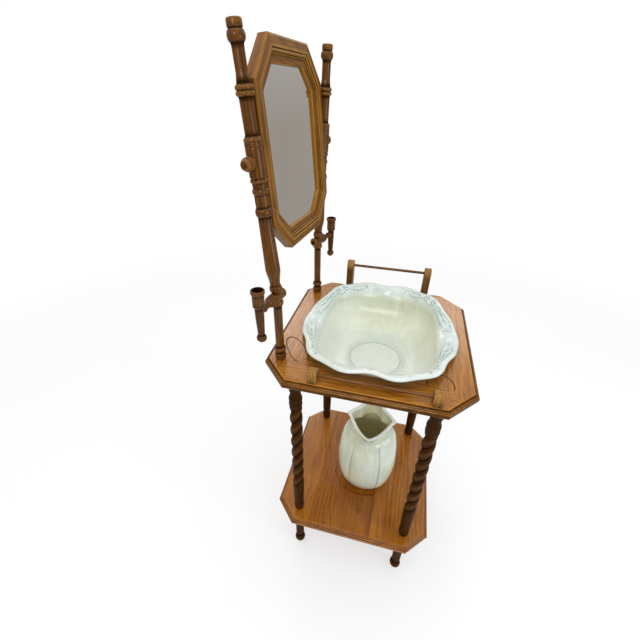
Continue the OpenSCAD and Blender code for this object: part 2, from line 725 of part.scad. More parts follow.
// A closed skin through rings of points, with a flat face on the first and on the last ring
module skin(rings) {
    n = len(rings[0]);
    last = (len(rings) - 1) * n;
    polyhedron(points = [for (ring = rings) each ring], faces = concat(
        [[for (i = [n - 1:-1:0]) i]],
        [for (j = [0:len(rings) - 2]) for (i = [0:n - 1]) let (k = (i + 1) % n)
            each [[j * n + i, j * n + k, j * n + n + k], [j * n + i, j * n + n + k, j * n + n + i]]],
        [[for (i = [0:n - 1]) last + i]]));
}

// Lobes of the rim's outline, and the rise and fall of its height, at angle a round the basin
function rim_wave(a) = -rim_lobe * cos(6 * a) - rim_ripple * (cos(12 * a) + cos(14 * a));
function rim_height(a) = rim_saddle * cos(2 * a) - rim_corner * cos(4 * a) + 1.5 * cos(6 * a);
rim_square = 2.35;
function bowl_ring(hx, hy, n, z, wave = 0) = [for (i = [0:bowl_sides - 1])
    let (a = 360 * i / bowl_sides, r = squircle(a, hx, hy, n) + wave * rim_wave(a))
    [r * cos(a), r * sin(a), z + wave * rim_height(a)]];

// The bowl's wall at angle u of its quarter-ellipse profile, grown outward by g
function bowl_wall(u, g) = let (c = basin_foot_r + 4) bowl_ring(
    c + (seat_x - basin_wall + g - c) * sin(u), c + (seat_y - basin_wall + g - c) * sin(u),
    2 + (bowl_square - 2) * sin(u), -basin_deep - g + (basin_deep - 4 + g) * (1 - cos(u)));

// The flare between the bowl and the rim's edge, t from 0 to 1
function bowl_flare(t, g) = let (lower = g > 0 ? 0 : -4, f = pow(t, 1.5)) bowl_ring(
    seat_x - basin_wall + g + (rim_x - 9 - seat_x + basin_wall) * f,
    seat_y - basin_wall + g + (rim_y - 9 - seat_y + basin_wall) * f,
    bowl_square - (bowl_square - rim_square) * t, lower + (rim_up - g - lower) * sin(90 * t), t);

module basin() {
    foot_z = -basin_deep - basin_wall;
    color(GLAZE) translate([0, -basin_ahead, board_up]) skin(concat(
        [bowl_ring(basin_foot_r - 6, basin_foot_r - 6, 2, -basin_deep - 1),
            bowl_ring(basin_foot_r - 3, basin_foot_r - 3, 2, -basin_deep - 1),
            bowl_ring(basin_foot_r - 1, basin_foot_r - 1, 2, -basin_deep + 0.5)],
        [for (u = [18, 34, 50, 66, 82]) bowl_wall(u, 0)],
        [for (t = [0.1, 0.4, 0.7, 1]) bowl_flare(t, 0)],
        [bowl_ring(rim_x, rim_y, rim_square, rim_up - 2.5, 1),
            bowl_ring(rim_x - 1, rim_y - 1, rim_square, rim_up - 6, 1)],
        [for (t = [0.75, 0.45, 0.2, 0]) bowl_flare(t, basin_wall)],
        [for (u = [76, 60, 44, 28]) bowl_wall(u, basin_wall)],
        [bowl_ring(basin_foot_r + 3, basin_foot_r + 3, 2, foot_z - 0.8),
            bowl_ring(basin_foot_r, basin_foot_r, 2, foot_z - 5),
            bowl_ring(basin_foot_r - 5, basin_foot_r - 5, 2, foot_z - 5),
            bowl_ring(basin_foot_r - 8, basin_foot_r - 8, 2, foot_z - 0.8)]));
}

// Radius of the pitcher's body at height z in direction a, before its panels
pitcher_foot_h = 7;
neck_up = pitcher_h - 17;
function neck_at(a) = neck_r + (neck_wide_r - neck_r) * pow(abs(cos(2 * a)), 1.5);
function body_share(z) = max(min((z - pitcher_foot_h) / (neck_up - pitcher_foot_h), 1), 0);
function body_r(z, a) = let (t = body_share(z), foot = pitcher_foot_r - 2, neck = neck_at(a))
    foot + (neck - foot) * t + (belly_r - (foot + neck) / 2) * sqrt(max(sin(180 * pow(t, 0.8)), 0));

pitcher_sides = 48;
panel_deep = 2.6;
// A ring of the pitcher's body, grown by g, with grooves between its panels
function body_ring(z, g) = [for (i = [0:pitcher_sides - 1]) let (
        a = 360 * i / pitcher_sides,
        groove = pow(1 - abs(cos(panels / 2 * a)), 2) * sin(180 * body_share(z)),
        r = body_r(z, a) + g - (g < 0 ? 0.3 : 1) * panel_deep * groove)
    [r * cos(a), r * sin(a), z]];

// A ring of the mouth, which turns from the neck at t = 0 into the pointed rim at t = 1
function mouth_ring(t, g) = [for (i = [0:pitcher_sides - 1]) let (
        a = 360 * i / pitcher_sides,
        square = rim_point / (abs(cos(a)) + abs(sin(a))),
        spout = pow(max(-cos(a), 0), 8),
        lift = point_lift * pow(abs(sin(a)), 6) + back_lift * pow(max(cos(a), 0), 1.5) + 6 * spout,
        r = neck_at(a) + (square + 5 * spout - neck_at(a)) * pow(t, 1.7) + g)
    [r * cos(a), r * sin(a), neck_up + (pitcher_h - neck_up + lift) * t]];

// A plain ring of the pitcher's foot
function foot_ring(r, z) = [for (i = [0:pitcher_sides - 1]) let (a = 360 * i / pitcher_sides)
    [r * cos(a), r * sin(a), z]];

// A point of the handle's path, from the neck (v = 0) to the belly (v = 1), as a curve on four points
handle_rise = 30;
handle_drop = 22;
function handle_at(v) = pow(1 - v, 3) * [neck_wide_r - 1.5, neck_up + 2]
    + 3 * v * pow(1 - v, 2) * [handle_out - 8, neck_up + handle_rise]
    + 3 * v * v * (1 - v) * [handle_out, handle_low + handle_drop]
    + pow(v, 3) * [body_r(handle_low, 0) - 2.5, handle_low];

handle_sides = 10;
handle_steps = 14;
function handle_ring(v) = let (
        here = handle_at(v),
        way = handle_at(min(v + 0.01, 1)) - handle_at(max(v - 0.01, 0)),
        out = [way[1], -way[0]] / norm(way))
    [for (i = [0:handle_sides - 1]) let (a = 360 * i / handle_sides)
        [here[0] + out[0] * handle_half_t * cos(a), -handle_half_w * sin(a),
            here[1] + out[1] * handle_half_t * cos(a)]];

module pitcher() {
    floor_z = pitcher_foot_h + pitcher_wall;
    color(GLAZE) translate([-pitcher_left, -pitcher_ahead, shelf_up + glue_gap]) {
        skin(concat(
            [foot_ring(pitcher_foot_r - 10, floor_z), body_ring(floor_z, -pitcher_wall - 2)],
            [for (t = [0.1, 0.2, 0.3, 0.41, 0.53, 0.66, 0.77, 0.87, 0.955])
                body_ring(neck_up * t, -pitcher_wall)],
            [for (t = [0.1, 0.5, 0.8]) mouth_ring(t, -pitcher_wall)],
            [mouth_ring(0.98, -3.4), mouth_ring(1.02, -1.4), mouth_ring(1, 0.8), mouth_ring(0.93, 1.2),
                mouth_ring(0.8, 0), mouth_ring(0.4, 0), mouth_ring(0, 0)],
            [for (t = [0.955, 0.88, 0.79, 0.68, 0.56, 0.44, 0.32, 0.2, 0.12, 0.07])
                body_ring(neck_up * t, 0)],
            [foot_ring(pitcher_foot_r - 1.5, pitcher_foot_h), foot_ring(pitcher_foot_r, pitcher_foot_h - 2),
                foot_ring(pitcher_foot_r - 0.5, 0), foot_ring(pitcher_foot_r - 5, 0),
                foot_ring(pitcher_foot_r - 7, 3)]));
        skin([for (j = [0:handle_steps]) handle_ring(j / handle_steps)]);
    }
}

top_board();
lower_shelf();
leg(0);  // leg_front_left
leg(1);  // leg_front_right
leg(2);  // leg_back_left
leg(3);  // leg_back_right
foot(0);  // foot_front_left
foot(1);  // foot_front_right
foot(2);  // foot_back_left
foot(3);  // foot_back_right
leg_dowels();
post_base(-1);  // left_post_base
post_base(1);  // right_post_base
upper_post(-1, -left_lean);  // left_post
upper_post(1, right_lean);  // right_post
post_pin(-1);  // left_post_pin
post_pin(1);  // right_post_pin
post_screws();
arm(-1, left_arm_turn);  // left_arm
arm(1, right_arm_turn);  // right_arm
candle_cup(-1, left_arm_turn);  // left_candle_cup
candle_cup(1, right_arm_turn);  // right_candle_cup
bracket(BRACKET_SPOTS[0], left_bar_up, 1);  // left_front_bracket
bracket(BRACKET_SPOTS[1], left_bar_up, -1);  // left_back_bracket
bracket(BRACKET_SPOTS[2], right_bar_up, 1);  // right_front_bracket
bracket(BRACKET_SPOTS[3], right_bar_up, -1);  // right_back_bracket
towel_bar(-rail_out, left_front, left_back, left_bar_up);  // left_towel_bar
towel_bar(rail_out, right_front, right_back, right_bar_up);  // right_towel_bar
bracket_screws();
frame_stick(0);  // frame_right
frame_stick(1);  // frame_top_right
frame_stick(2);  // frame_top
frame_stick(3);  // frame_top_left
frame_stick(4);  // frame_left
frame_stick(5);  // frame_bottom_left
frame_stick(6);  // frame_bottom
frame_stick(7);  // frame_bottom_right
mirror_glass();
mirror_backing();
backing_clips();
clip_screws();
stud(-1);  // left_stud
stud(1);  // right_stud
washer(-1);  // left_washer
washer(1);  // right_washer
knob(-1);  // left_knob
knob(1);  // right_knob
basin();
pitcher();
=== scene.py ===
# %% [markdown]
# # An oak washstand with a tilting mirror, basin and pitcher
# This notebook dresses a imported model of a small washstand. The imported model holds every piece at
# its real size and says how each one moves. Here each piece gets the surface that the eye expects:
# turned and sanded oak, a moulded board, a carved and glazed basin, a silvered glass. Nothing is
# moved or resized. A new surface only takes the place of the plain one that it was built around.

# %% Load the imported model
import json
import math

import bpy
import numpy as np
from mathutils import Matrix, Vector


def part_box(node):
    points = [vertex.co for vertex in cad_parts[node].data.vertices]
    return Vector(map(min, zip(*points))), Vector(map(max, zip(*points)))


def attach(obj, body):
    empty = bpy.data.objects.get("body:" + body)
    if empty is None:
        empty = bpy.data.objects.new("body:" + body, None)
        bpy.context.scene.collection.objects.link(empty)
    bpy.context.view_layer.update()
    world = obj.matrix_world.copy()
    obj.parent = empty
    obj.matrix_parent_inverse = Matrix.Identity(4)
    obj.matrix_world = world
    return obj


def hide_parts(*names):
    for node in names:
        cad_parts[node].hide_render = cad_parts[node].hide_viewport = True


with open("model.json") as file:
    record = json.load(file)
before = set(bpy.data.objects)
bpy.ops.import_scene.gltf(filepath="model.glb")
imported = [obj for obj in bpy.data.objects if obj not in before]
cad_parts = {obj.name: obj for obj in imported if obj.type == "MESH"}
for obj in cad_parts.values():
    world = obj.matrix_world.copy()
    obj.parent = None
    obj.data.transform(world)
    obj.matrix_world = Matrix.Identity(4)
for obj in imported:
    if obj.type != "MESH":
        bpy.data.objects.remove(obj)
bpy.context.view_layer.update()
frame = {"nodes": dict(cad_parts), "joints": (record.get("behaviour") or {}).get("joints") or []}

# %% [markdown]
# ## The places that everything else is measured from
# A joiner marks out from a few lines: the floor, the two boards, the leg axes and the posts. They
# could be typed in again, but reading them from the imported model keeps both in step, so that is
# what happens here. Lengths in this notebook are millimetres until a mesh is made.

# %% Driving places
MM = 0.001


def low(node):
    """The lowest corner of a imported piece, in millimetres."""
    return np.array(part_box(node)[0]) / MM


def high(node):
    """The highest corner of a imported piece, in millimetres."""
    return np.array(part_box(node)[1]) / MM


def middle(node):
    """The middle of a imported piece's box, in millimetres."""
    return (low(node) + high(node)) / 2


joints = {j["name"]: j for j in frame["joints"]}
board_top = high("top_board")[2]
board_t = board_top - low("top_board")[2]
shelf_top = high("lower_shelf")[2]
shelf_t = shelf_top - low("lower_shelf")[2]
board_size = (high("top_board") - low("top_board"))[:2]
shelf_size = (high("lower_shelf") - low("lower_shelf"))[:2]
LEGS = ["front_left", "front_right", "back_left", "back_right"]
SIDES = ("left", "right")
arm_joint = {side: np.array(joints[side + "_arm_swivel"]["pos_m"]) / MM for side in SIDES}
pivot = np.array(joints["mirror_tilt"]["pos_m"]) / MM
pivot_line = np.array(joints["mirror_tilt"]["axis"])
mirror_yaw = math.atan2(pivot_line[1], pivot_line[0])
print("board top at", round(board_top, 1), "mm, shelf top at", round(shelf_top, 1), "mm")

# %% [markdown]
# ## From numbers to a mesh
# Every new surface is a grid: one direction runs round or along the piece and the other across its
# profile. The helpers take whole numpy arrays. `grid_mesh` joins the rows of a grid with four-sided
# faces and closes an open end with a fan of triangles. Each mesh also carries two attributes that
# the finishes read. `grain` is the place of each point in the plank that the piece was cut from,
# with the fibres along its first axis. `hollow` is 1 in grooves and creases and -1 on crests. On
# the brackets, the moulded edges, the basin and the pitcher it also holds painted shade and
# painted light.

# %% Mesh helpers
def store(mesh, name, kind, values):
    """Keeps one value for each point of a mesh, as a named attribute."""
    data = mesh.attributes.new(name, kind, "POINT").data
    flat = np.ascontiguousarray(values, np.float32).ravel()
    data.foreach_set("vector" if kind == "FLOAT_VECTOR" else "value", flat)


def grid_mesh(name, points, grain, hollow, close_rows=False, sharp=50):
    """A mesh from a grid of points with shape (rows, columns, 3) whose columns close into a ring.

    Face (i, j) joins row i and row i + 1 between column j and the next one. With close_rows the
    last row joins the first; without it a fan to its mean point closes the first and last row."""
    rows, cols = points.shape[:2]
    index = np.arange(rows * cols).reshape(rows, cols)
    above = np.roll(index, -1, 0) if close_rows else index[1:]
    below = index if close_rows else index[:-1]
    quads = np.stack([below, np.roll(below, -1, 1), np.roll(above, -1, 1), above], -1)
    verts, grains, hollows = [points.reshape(-1, 3)], [grain.reshape(-1, 3)], [hollow.reshape(-1)]
    faces = quads.reshape(-1, 4).tolist()
    for fan, row in enumerate(() if close_rows else (0, rows - 1)):
        verts.append(points[row].mean(0)[None])
        grains.append(grain[row].mean(0)[None])
        hollows.append(hollow[row].mean()[None])
        ring, hub = index[row].tolist(), rows * cols + fan
        pairs = zip(ring, ring[1:] + ring[:1])
        faces += [(a, b, hub) if row else (b, a, hub) for a, b in pairs]
    mesh = bpy.data.meshes.new(name)
    mesh.from_pydata((np.concatenate(verts) * MM).tolist(), [], faces)
    store(mesh, "grain", "FLOAT_VECTOR", np.concatenate(grains) * MM)
    store(mesh, "hollow", "FLOAT", np.concatenate(hollows))
    mesh.shade_smooth()
    mesh.set_sharp_from_angle(angle=math.radians(sharp))
    mesh.validate()
    return mesh


def outward(mesh):
    """Turns the faces of a closed mesh outwards if its volume comes out negative."""
    mesh.calc_loop_triangles()
    tris = np.zeros(len(mesh.loop_triangles) * 3, np.int32)
    mesh.loop_triangles.foreach_get("vertices", tris)
    co = np.zeros(len(mesh.vertices) * 3)
    mesh.vertices.foreach_get("co", co)
    p = co.reshape(-1, 3)[tris.reshape(-1, 3)]
    if np.einsum("ij,ij->i", p[:, 0], np.cross(p[:, 1], p[:, 2])).sum() < 0:
        mesh.flip_normals()
    return mesh


PIECES = []


def place(name, mesh, material, body, *nodes, slot=None):
    """Puts a finished mesh in the scene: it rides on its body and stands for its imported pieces."""
    outward(mesh)
    piece = bpy.data.objects.new(name, mesh)
    bpy.context.scene.collection.objects.link(piece)
    mesh.materials.append(material)
    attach(piece, body)
    if nodes:
        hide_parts(*nodes)
    PIECES.append(piece)
    print(name, len(mesh.polygons), "faces")
    return piece


# %% [markdown]
# ## Shader building blocks
# A finish is a network of shader nodes. Written out link by link it is hard to read, so a small
# class adds a node and joins its inputs in one call, and what comes out can be added and multiplied
# like a number. Effects that several finishes share, such as the figure of the oak, are node
# groups: they are built once and used with different values.

# %% Node helper
class Value:
    """An output of a shader node that can be added, multiplied and compared like a number."""

    def __init__(self, shader, socket):
        self.shader, self.socket = shader, socket

    def __add__(self, other):
        return self.shader.math("ADD", self, other)

    def __sub__(self, other):
        return self.shader.math("SUBTRACT", self, other)

    def __rsub__(self, other):
        return self.shader.math("SUBTRACT", other, self)

    def __mul__(self, other):
        return self.shader.math("MULTIPLY", self, other)

    def __truediv__(self, other):
        return self.shader.math("DIVIDE", self, other)

    def __pow__(self, other):
        return self.shader.math("POWER", self, other)

    def __gt__(self, other):
        return self.shader.math("GREATER_THAN", self, other)

    def __lt__(self, other):
        return self.shader.math("LESS_THAN", self, other)

    def __abs__(self):
        return self.shader.math("ABSOLUTE", self)


class Shader:
    """Adds nodes to one tree. An input may be a number, a colour, a vector or a Value."""

    def __init__(self, tree):
        self.tree = tree

    def fill(self, node, inputs):
        """Sets or links the inputs of a node, which are given by name or by number."""
        for key, value in inputs.items():
            if isinstance(value, Value):
                self.tree.links.new(value.socket, node.inputs[key])
            else:
                node.inputs[key].default_value = value
        return node

    def node(self, kind, inputs=None, **settings):
        node = self.tree.nodes.new(kind)
        for key, value in settings.items():
            setattr(node, key, value)
        return self.fill(node, inputs or {})

    def add(self, kind, inputs=None, output=0, **settings):
        """Adds a node and gives one of its outputs."""
        return Value(self, self.node(kind, inputs, **settings).outputs[output])

    def outputs_of(self, node):
        return {socket.name: Value(self, socket) for socket in node.outputs}

    def use(self, group, inputs):
        """Adds a shared node group and gives its outputs by name."""
        return self.outputs_of(self.node("ShaderNodeGroup", inputs, node_tree=group))

    def attribute(self, name, output="Fac"):
        return self.add("ShaderNodeAttribute", output=output, attribute_name=name)

    def spot(self):
        """The place on the object, in metres."""
        return self.add("ShaderNodeTexCoord", output="Object")

    def math(self, operation, a, b=0.0):
        return self.add("ShaderNodeMath", {0: a, 1: b}, operation=operation)

    def vector(self, operation, a, b):
        return self.add("ShaderNodeVectorMath", {0: a, 1: b}, operation=operation)

    def parts(self, vector):
        return list(self.outputs_of(self.node("ShaderNodeSeparateXYZ", {0: vector})).values())

    def join(self, x, y, z):
        return self.add("ShaderNodeCombineXYZ", {0: x, 1: y, 2: z})

    def noise(self, vector, scale, detail=3.0, roughness=0.5):
        """Noise of one scale, or of three scales for the three axes."""
        if isinstance(scale, tuple):
            vector, scale = self.vector("MULTIPLY", vector, scale), 1.0
        return self.add("ShaderNodeTexNoise", {"Vector": vector, "Scale": scale, "Detail": detail,
                                               "Roughness": roughness}, "Fac")

    def random(self, number):
        """A random value from 0 to 1 that stays the same for the same number."""
        return self.add("ShaderNodeTexWhiteNoise", {"W": number}, "Value", noise_dimensions="1D")

    def span(self, value, low_in, high_in, low_out=0.0, high_out=1.0):
        """Maps the range low_in to high_in on low_out to high_out and stops at both ends."""
        inputs = {"Value": value, "From Min": low_in, "From Max": high_in, "To Min": low_out,
                  "To Max": high_out}
        return self.add("ShaderNodeMapRange", inputs, "Result", clamp=True)

    def blend(self, share, a, b, mode="MIX"):
        inputs = {0: share, 6: a, 7: b}
        return self.add("ShaderNodeMix", inputs, 2, data_type="RGBA", blend_type=mode)

    def bump(self, height, distance, strength):
        inputs = {"Height": height, "Distance": distance, "Strength": strength}
        return self.add("ShaderNodeBump", inputs, "Normal")


def new_group(name, inputs, outputs):
    """An empty node group with named sockets; gives its shader, its inputs and its output node.

    An input with a tuple as its value is a vector, and all other sockets are plain numbers."""
    tree = bpy.data.node_groups.new(name, "ShaderNodeTree")
    for label, value in inputs.items():
        kind = "NodeSocketVector" if isinstance(value, tuple) else "NodeSocketFloat"
        tree.interface.new_socket(label, in_out="INPUT", socket_type=kind).default_value = value
    for label in outputs:
        tree.interface.new_socket(label, in_out="OUTPUT", socket_type="NodeSocketFloat")
    shader = Shader(tree)
    return shader, shader.outputs_of(shader.node("NodeGroupInput")), shader.node("NodeGroupOutput")


def new_material(name):
    """A material with an empty principled shader; gives the material, its shader and that node."""
    material = bpy.data.materials.new(name)
    material.use_nodes = True
    return material, Shader(material.node_tree), material.node_tree.nodes["Principled BSDF"]


def rgb(red, green, blue):
    """A screen colour from 0 to 255 as the linear colour that a shader takes."""
    s = np.array([red, green, blue]) / 255
    linear = np.where(s <= 0.04045, s / 12.92, ((s + 0.055) / 1.055) ** 2.4)
    return (*linear.tolist(), 1.0)


# %% [markdown]
# ## The figure of oak
# A tree is a stack of yearly cones. A board cut through them shows nested arches where the cut
# nearly follows a cone, and straight lines where it crosses the cones squarely. Painted lines could
# imitate that for one board, but a solid figure works for every cut: the group measures how far a
# point is from the heart of the tree, bends that distance with slow noise, and folds it into
# rings. Oak also has open pores, which show as short dark dashes along the fibres.

# %% The oak figure group
def make_oak_figure():
    """Ring position is the distance from a wandering heart line, divided by the ring width.

    Late wood is the last part of each ring, as a saw-tooth with a soft front and a sharp back, and
    each ring gets a strength of its own, because good and poor years differ."""
    s, given, out = new_group("oak figure", {
        "Vector": (0, 0, 0), "Ring width": 0.006, "Heart depth": 0.03, "Waviness": 1.0},
        ["Late wood", "Streaks", "Pores"])
    place_in = given["Vector"]
    slow = s.noise(place_in, (2.6, 8.0, 8.0), 2.0, 0.45)
    quick = s.noise(place_in, (5.0, 70.0, 70.0), 3.0, 0.5)
    _, across, deep = s.parts(place_in)
    wander = (slow - 0.5) * (given["Waviness"] * 0.09)
    side = across + wander
    depth = deep + given["Heart depth"] + wander * 0.8
    reach = s.math("SQRT", side * side + depth * depth) + (quick - 0.5) * 0.004
    rings = reach / given["Ring width"]
    ring = s.math("FRACT", rings)
    year = s.random(s.math("FLOOR", rings))
    late = ring ** 2.2 * s.span(ring, 1.0, 0.90) * s.span(year, 0.0, 1.0, 0.45, 1.0)
    dashes = s.noise(place_in, (70.0, 1500.0, 1500.0), 1.0, 0.5)
    s.fill(out, {"Late wood": late, "Streaks": s.noise(place_in, (14.0, 520.0, 520.0), 4.0, 0.6),
                 "Pores": s.span(dashes, 0.56, 0.68) * s.span(ring, 0.75, 0.1)})
    return s.tree


def make_wear_and_shade():
    """Stain gathers in hollows and wears off crests; noise breaks both up into patches. Where the
    hollow input holds painted shade, as on the brackets and moulded edges, it darkens the same way.
    """
    s, given, out = new_group("stain, wear and painted shade", {"Hollow": 0.0, "Vector": (0, 0, 0)},
                              ["Dark", "Light", "Dirt"])
    patch = s.noise(given["Vector"], 55.0, 4.0, 0.6)
    rough = given["Hollow"] + (patch - 0.5) * 0.55
    s.fill(out, {"Dark": s.span(rough, 0.15, 0.95), "Light": s.span(rough, -0.45, -1.1),
                 "Dirt": s.noise(given["Vector"], 9.0, 5.0, 0.65)})
    return s.tree


oak_figure = make_oak_figure()
stain_wear_and_shade = make_wear_and_shade()
print("groups:", [g.name for g in bpy.data.node_groups])

# %% [markdown]
# ## Marks in the two boards
# The top is mitred from four strips and the shelf is glued up from five planks, so a point's place
# in its own plank has to be worked out from its place on the board. Both also carry fine dark arcs,
# which are parts of ellipses. They could be lines of mesh laid on the wood, but then they would
# stand out at the edges. Here they are a mask that darkens the wood and dulls its lacquer. The
# largest arc on the shelf, 78 mm round the pitcher, is a painted shadow of the pitcher's belly.

# %% Boards and arcs
ARC_STRENGTH = 0.85
# Each arc is (x, y, rx, ry, turn in degrees, open, width), with lengths in metres.
BOARD_ARCS = [(-0.112, 0.146, 0.017, 0.048, 55, -0.9, 0.09),
              (-0.140, -0.133, 0.024, 0.027, 90, -0.45, 0.08)]
# The first shelf arc is a painted shadow: the edge of the pitcher's shade on the shelf, round its
# belly.
SHELF_ARCS = [(-0.010, -0.012, 0.078, 0.078, -62, 0.30, 0.022),
              (-0.104, -0.020, 0.006, 0.028, -90, -0.2, 0.10),
              (-0.100, -0.020, 0.012, 0.040, -90, -0.1, 0.035)]
PLANK_W, PLANK_EDGE = 0.079, 0.212
MITRE_SHIFT, GLUE_HALF, GLUE_DARK, ARRIS_LOW, ARRIS_DONE = 0.006, 0.006, 0.6, -0.0004, -0.0012


def make_arc_mark():
    """A thin dark line along part of an ellipse: 1 where (x/rx)^2 + (y/ry)^2 is close to 1."""
    s, given, out = new_group("arc mark", {
        "Place": (0, 0, 0), "Middle": (0, 0, 0), "Radii": (0.03, 0.03, 1), "Turn": 0.0,
        "Open": -1.0, "Width": 0.03}, ["Mark"])
    local = s.vector("SUBTRACT", given["Place"], given["Middle"])
    level = s.add("ShaderNodeVectorRotate", {"Vector": local, "Angle": given["Turn"]},
                  rotation_type="Z_AXIS")
    x, y, _ = s.parts(s.vector("DIVIDE", level, given["Radii"]))
    ragged = (s.noise(given["Place"], 40.0, 2.0, 0.5) - 0.5) * 0.20
    off = abs(s.math("SQRT", x * x + y * y) + ragged - 1.0)
    line = s.span(off, given["Width"], given["Width"] * 0.3)
    s.fill(out, {"Mark": line * s.span(y, given["Open"], given["Open"] + 0.25)})
    return s.tree


arc_mark = make_arc_mark()


def arcs(s, spot, marks):
    """Joins several arc marks into one mask."""
    total = 0.0
    for x, y, rx, ry, degrees, opening, width in marks:
        line = s.use(arc_mark, {"Place": spot, "Middle": (x, y, 0), "Radii": (rx, ry, 1),
                                "Turn": math.radians(degrees), "Open": opening, "Width": width})
        total = s.math("MAXIMUM", total, line["Mark"])
    return total * ARC_STRENGTH


def mitred_board(s):
    """The top is four strips mitred round the basin: fibres follow the nearest edge of the board.

    Gives the place in the strip, the strip's tone and the marks."""
    spot = s.spot()
    x, y, z = s.parts(spot)
    sunk = z - board_top / 1000
    side = abs(x) > abs(y) + MITRE_SHIFT
    along_y = s.join(y, x, (x > 0.0) * 0.4 + sunk)
    along_x = s.join(x, y + 0.05, (y < 0.0) * 0.3 + 0.011 + sunk)
    return s.blend(side, along_x, along_y), (1.0 - side) * 0.25, arcs(s, spot, BOARD_ARCS)


def planked_shelf(s):
    """The shelf is glued up from five planks along X, each with a tone and figure of its own. On
    the reeded edge the fibres follow the nearest side.

    Gives the place in the plank, the plank's tone and the marks with the glue lines."""
    spot = s.spot()
    x, y, z = s.parts(spot)
    sunk = z - shelf_top / 1000
    across = (y + PLANK_EDGE) / PLANK_W
    number = s.math("FLOOR", across)
    own = s.random(number)
    flat = s.join(x + own * 3.0, y + number * 0.031, own * 0.03 + sunk)
    on_edge = s.span(sunk, ARRIS_LOW, ARRIS_DONE) * (abs(x) > abs(y))
    joint = abs(s.math("FRACT", across + 0.5) - 0.5)
    seam = s.span(joint, GLUE_HALF, 0.001, 0.0, GLUE_DARK)
    return (s.blend(on_edge, flat, s.join(y, x, sunk)), own,
            s.math("MAXIMUM", seam, arcs(s, spot, SHELF_ARCS)))


# %% [markdown]
# ## The oak finishes
# The boards are golden and glossy, the turned parts are stained darker, and the frame lies between
# them. One function makes all of them, because a workshop would also use one stain and one lacquer:
# only the colours, the rings and the gloss differ.

# %% Oak materials
AMBER = (1.0, 0.80, 0.50, 1.0)
PLANK_TONE, PORE_DARK, DIRT_DARK = 0.32, 0.75, 0.40
STAIN_AND_SHADE_DARK, CREST_PALE, STAIN_AND_SHADE_DULL = 0.88, 0.6, 0.9


def make_oak(name, pale, mid, dark, ring=0.004, heart=0.02, waviness=0.6, figure=0.8, rough=0.32,
             coat=0.5, shine=0.4, crest=None, lay=None):
    """Colour goes from pale through mid to dark with the rings, then streaks, pores and stain.

    crest is the colour of worn crests. lay is a function for boards of several planks: it gives
    the place in the plank, the plank's tone and a mask of dark marks, one of them a painted shadow
    on the shelf. Lacquer is thin on stained hollows and marks, so coat and shine fade there. The
    hollow attribute also holds painted shade on the brackets and moulded edges, which is darkened
    and dulled the same way."""
    material, s, bsdf = new_material(name)
    pale, mid, dark, crest = (rgb(*colour) for colour in (pale, mid, dark, crest or pale))
    grain, tone, mark = lay(s) if lay else (s.attribute("grain", "Vector"), None, None)
    wood = s.use(oak_figure, {"Vector": grain, "Ring width": ring, "Heart depth": heart,
                              "Waviness": waviness})
    # Dark and Light come from the hollow attribute: stain and wear, and on the brackets and moulded
    # edges painted shade as well.
    worn = s.use(stain_wear_and_shade, {"Vector": grain, "Hollow": s.attribute("hollow")})
    streaks, pores, dirt = wood["Streaks"], wood["Pores"], worn["Dirt"]
    base = s.blend(s.span(streaks, 0.37, 0.63), pale, mid)
    if lay:
        base = s.blend(s.span(tone, 0.0, 1.0, 0.0, PLANK_TONE), base, mid, "MULTIPLY")
    base = s.blend(wood["Late wood"] * figure, base, dark)
    base = s.blend(pores * PORE_DARK, base, dark, "MULTIPLY")
    base = s.blend(s.span(dirt, 0.42, 0.75, 0.0, DIRT_DARK), base, mid, "MULTIPLY")
    base = s.blend(worn["Dark"] * STAIN_AND_SHADE_DARK, base, dark)
    base = s.blend(worn["Light"] * CREST_PALE, base, crest)
    lacquer = 1.0 - worn["Dark"] * STAIN_AND_SHADE_DULL
    if lay:
        base = s.blend(mark, base, dark)
        lacquer = lacquer * (1.0 - mark)
    s.fill(bsdf, {
        "Base Color": base, "Coat Weight": lacquer * coat, "Specular IOR Level": lacquer * shine,
        "Roughness": streaks * 0.12 + s.span(dirt, 0.3, 0.8, rough - 0.08, rough + 0.06),
        "Normal": s.bump(streaks * 0.4 - pores, 0.0002, 0.6), "Coat Roughness": 0.16,
        "Specular Tint": AMBER})
    return material


oak_board = make_oak("golden oak board", (198, 132, 38), (156, 92, 18), (54, 27, 5), ring=0.0085,
                     heart=0.018, waviness=1.3, figure=1.0, rough=0.30, lay=mitred_board)
oak_shelf = make_oak("golden oak shelf", (188, 119, 28), (160, 93, 18), (78, 36, 5), ring=0.011,
                     heart=0.03, waviness=1.6, figure=0.85, rough=0.24, coat=0.6, lay=planked_shelf)
oak_turned = make_oak("dark turned oak", (128, 76, 10), (89, 48, 4), (32, 15, 2), figure=0.75,
                      rough=0.34, coat=0.34, shine=0.18, crest=(138, 88, 22))
oak_cup = make_oak("dark candle cup oak", (98, 56, 7), (70, 38, 3), (28, 12, 2), figure=0.65,
                   rough=0.36, coat=0.3, shine=0.15, crest=(116, 74, 26))
oak_leg = make_oak("dark barley twist oak", (76, 41, 8), (52, 27, 4), (18, 8, 2), figure=0.6,
                   rough=0.5, coat=0.0, shine=0.06, crest=(124, 78, 30))
oak_frame = make_oak("brown oak frame", (156, 98, 18), (118, 69, 6), (44, 22, 2), ring=0.0045,
                     heart=0.05, waviness=0.7, rough=0.36, coat=0.15, shine=0.18,
                     crest=(184, 134, 48))
oak_bracket = make_oak("worn oak bracket with painted shade", (194, 144, 72), (130, 86, 32), (46, 25, 8), ring=0.0035,
                       heart=0.03, rough=0.42, coat=0.1, shine=0.3)
print("oak finishes ready")

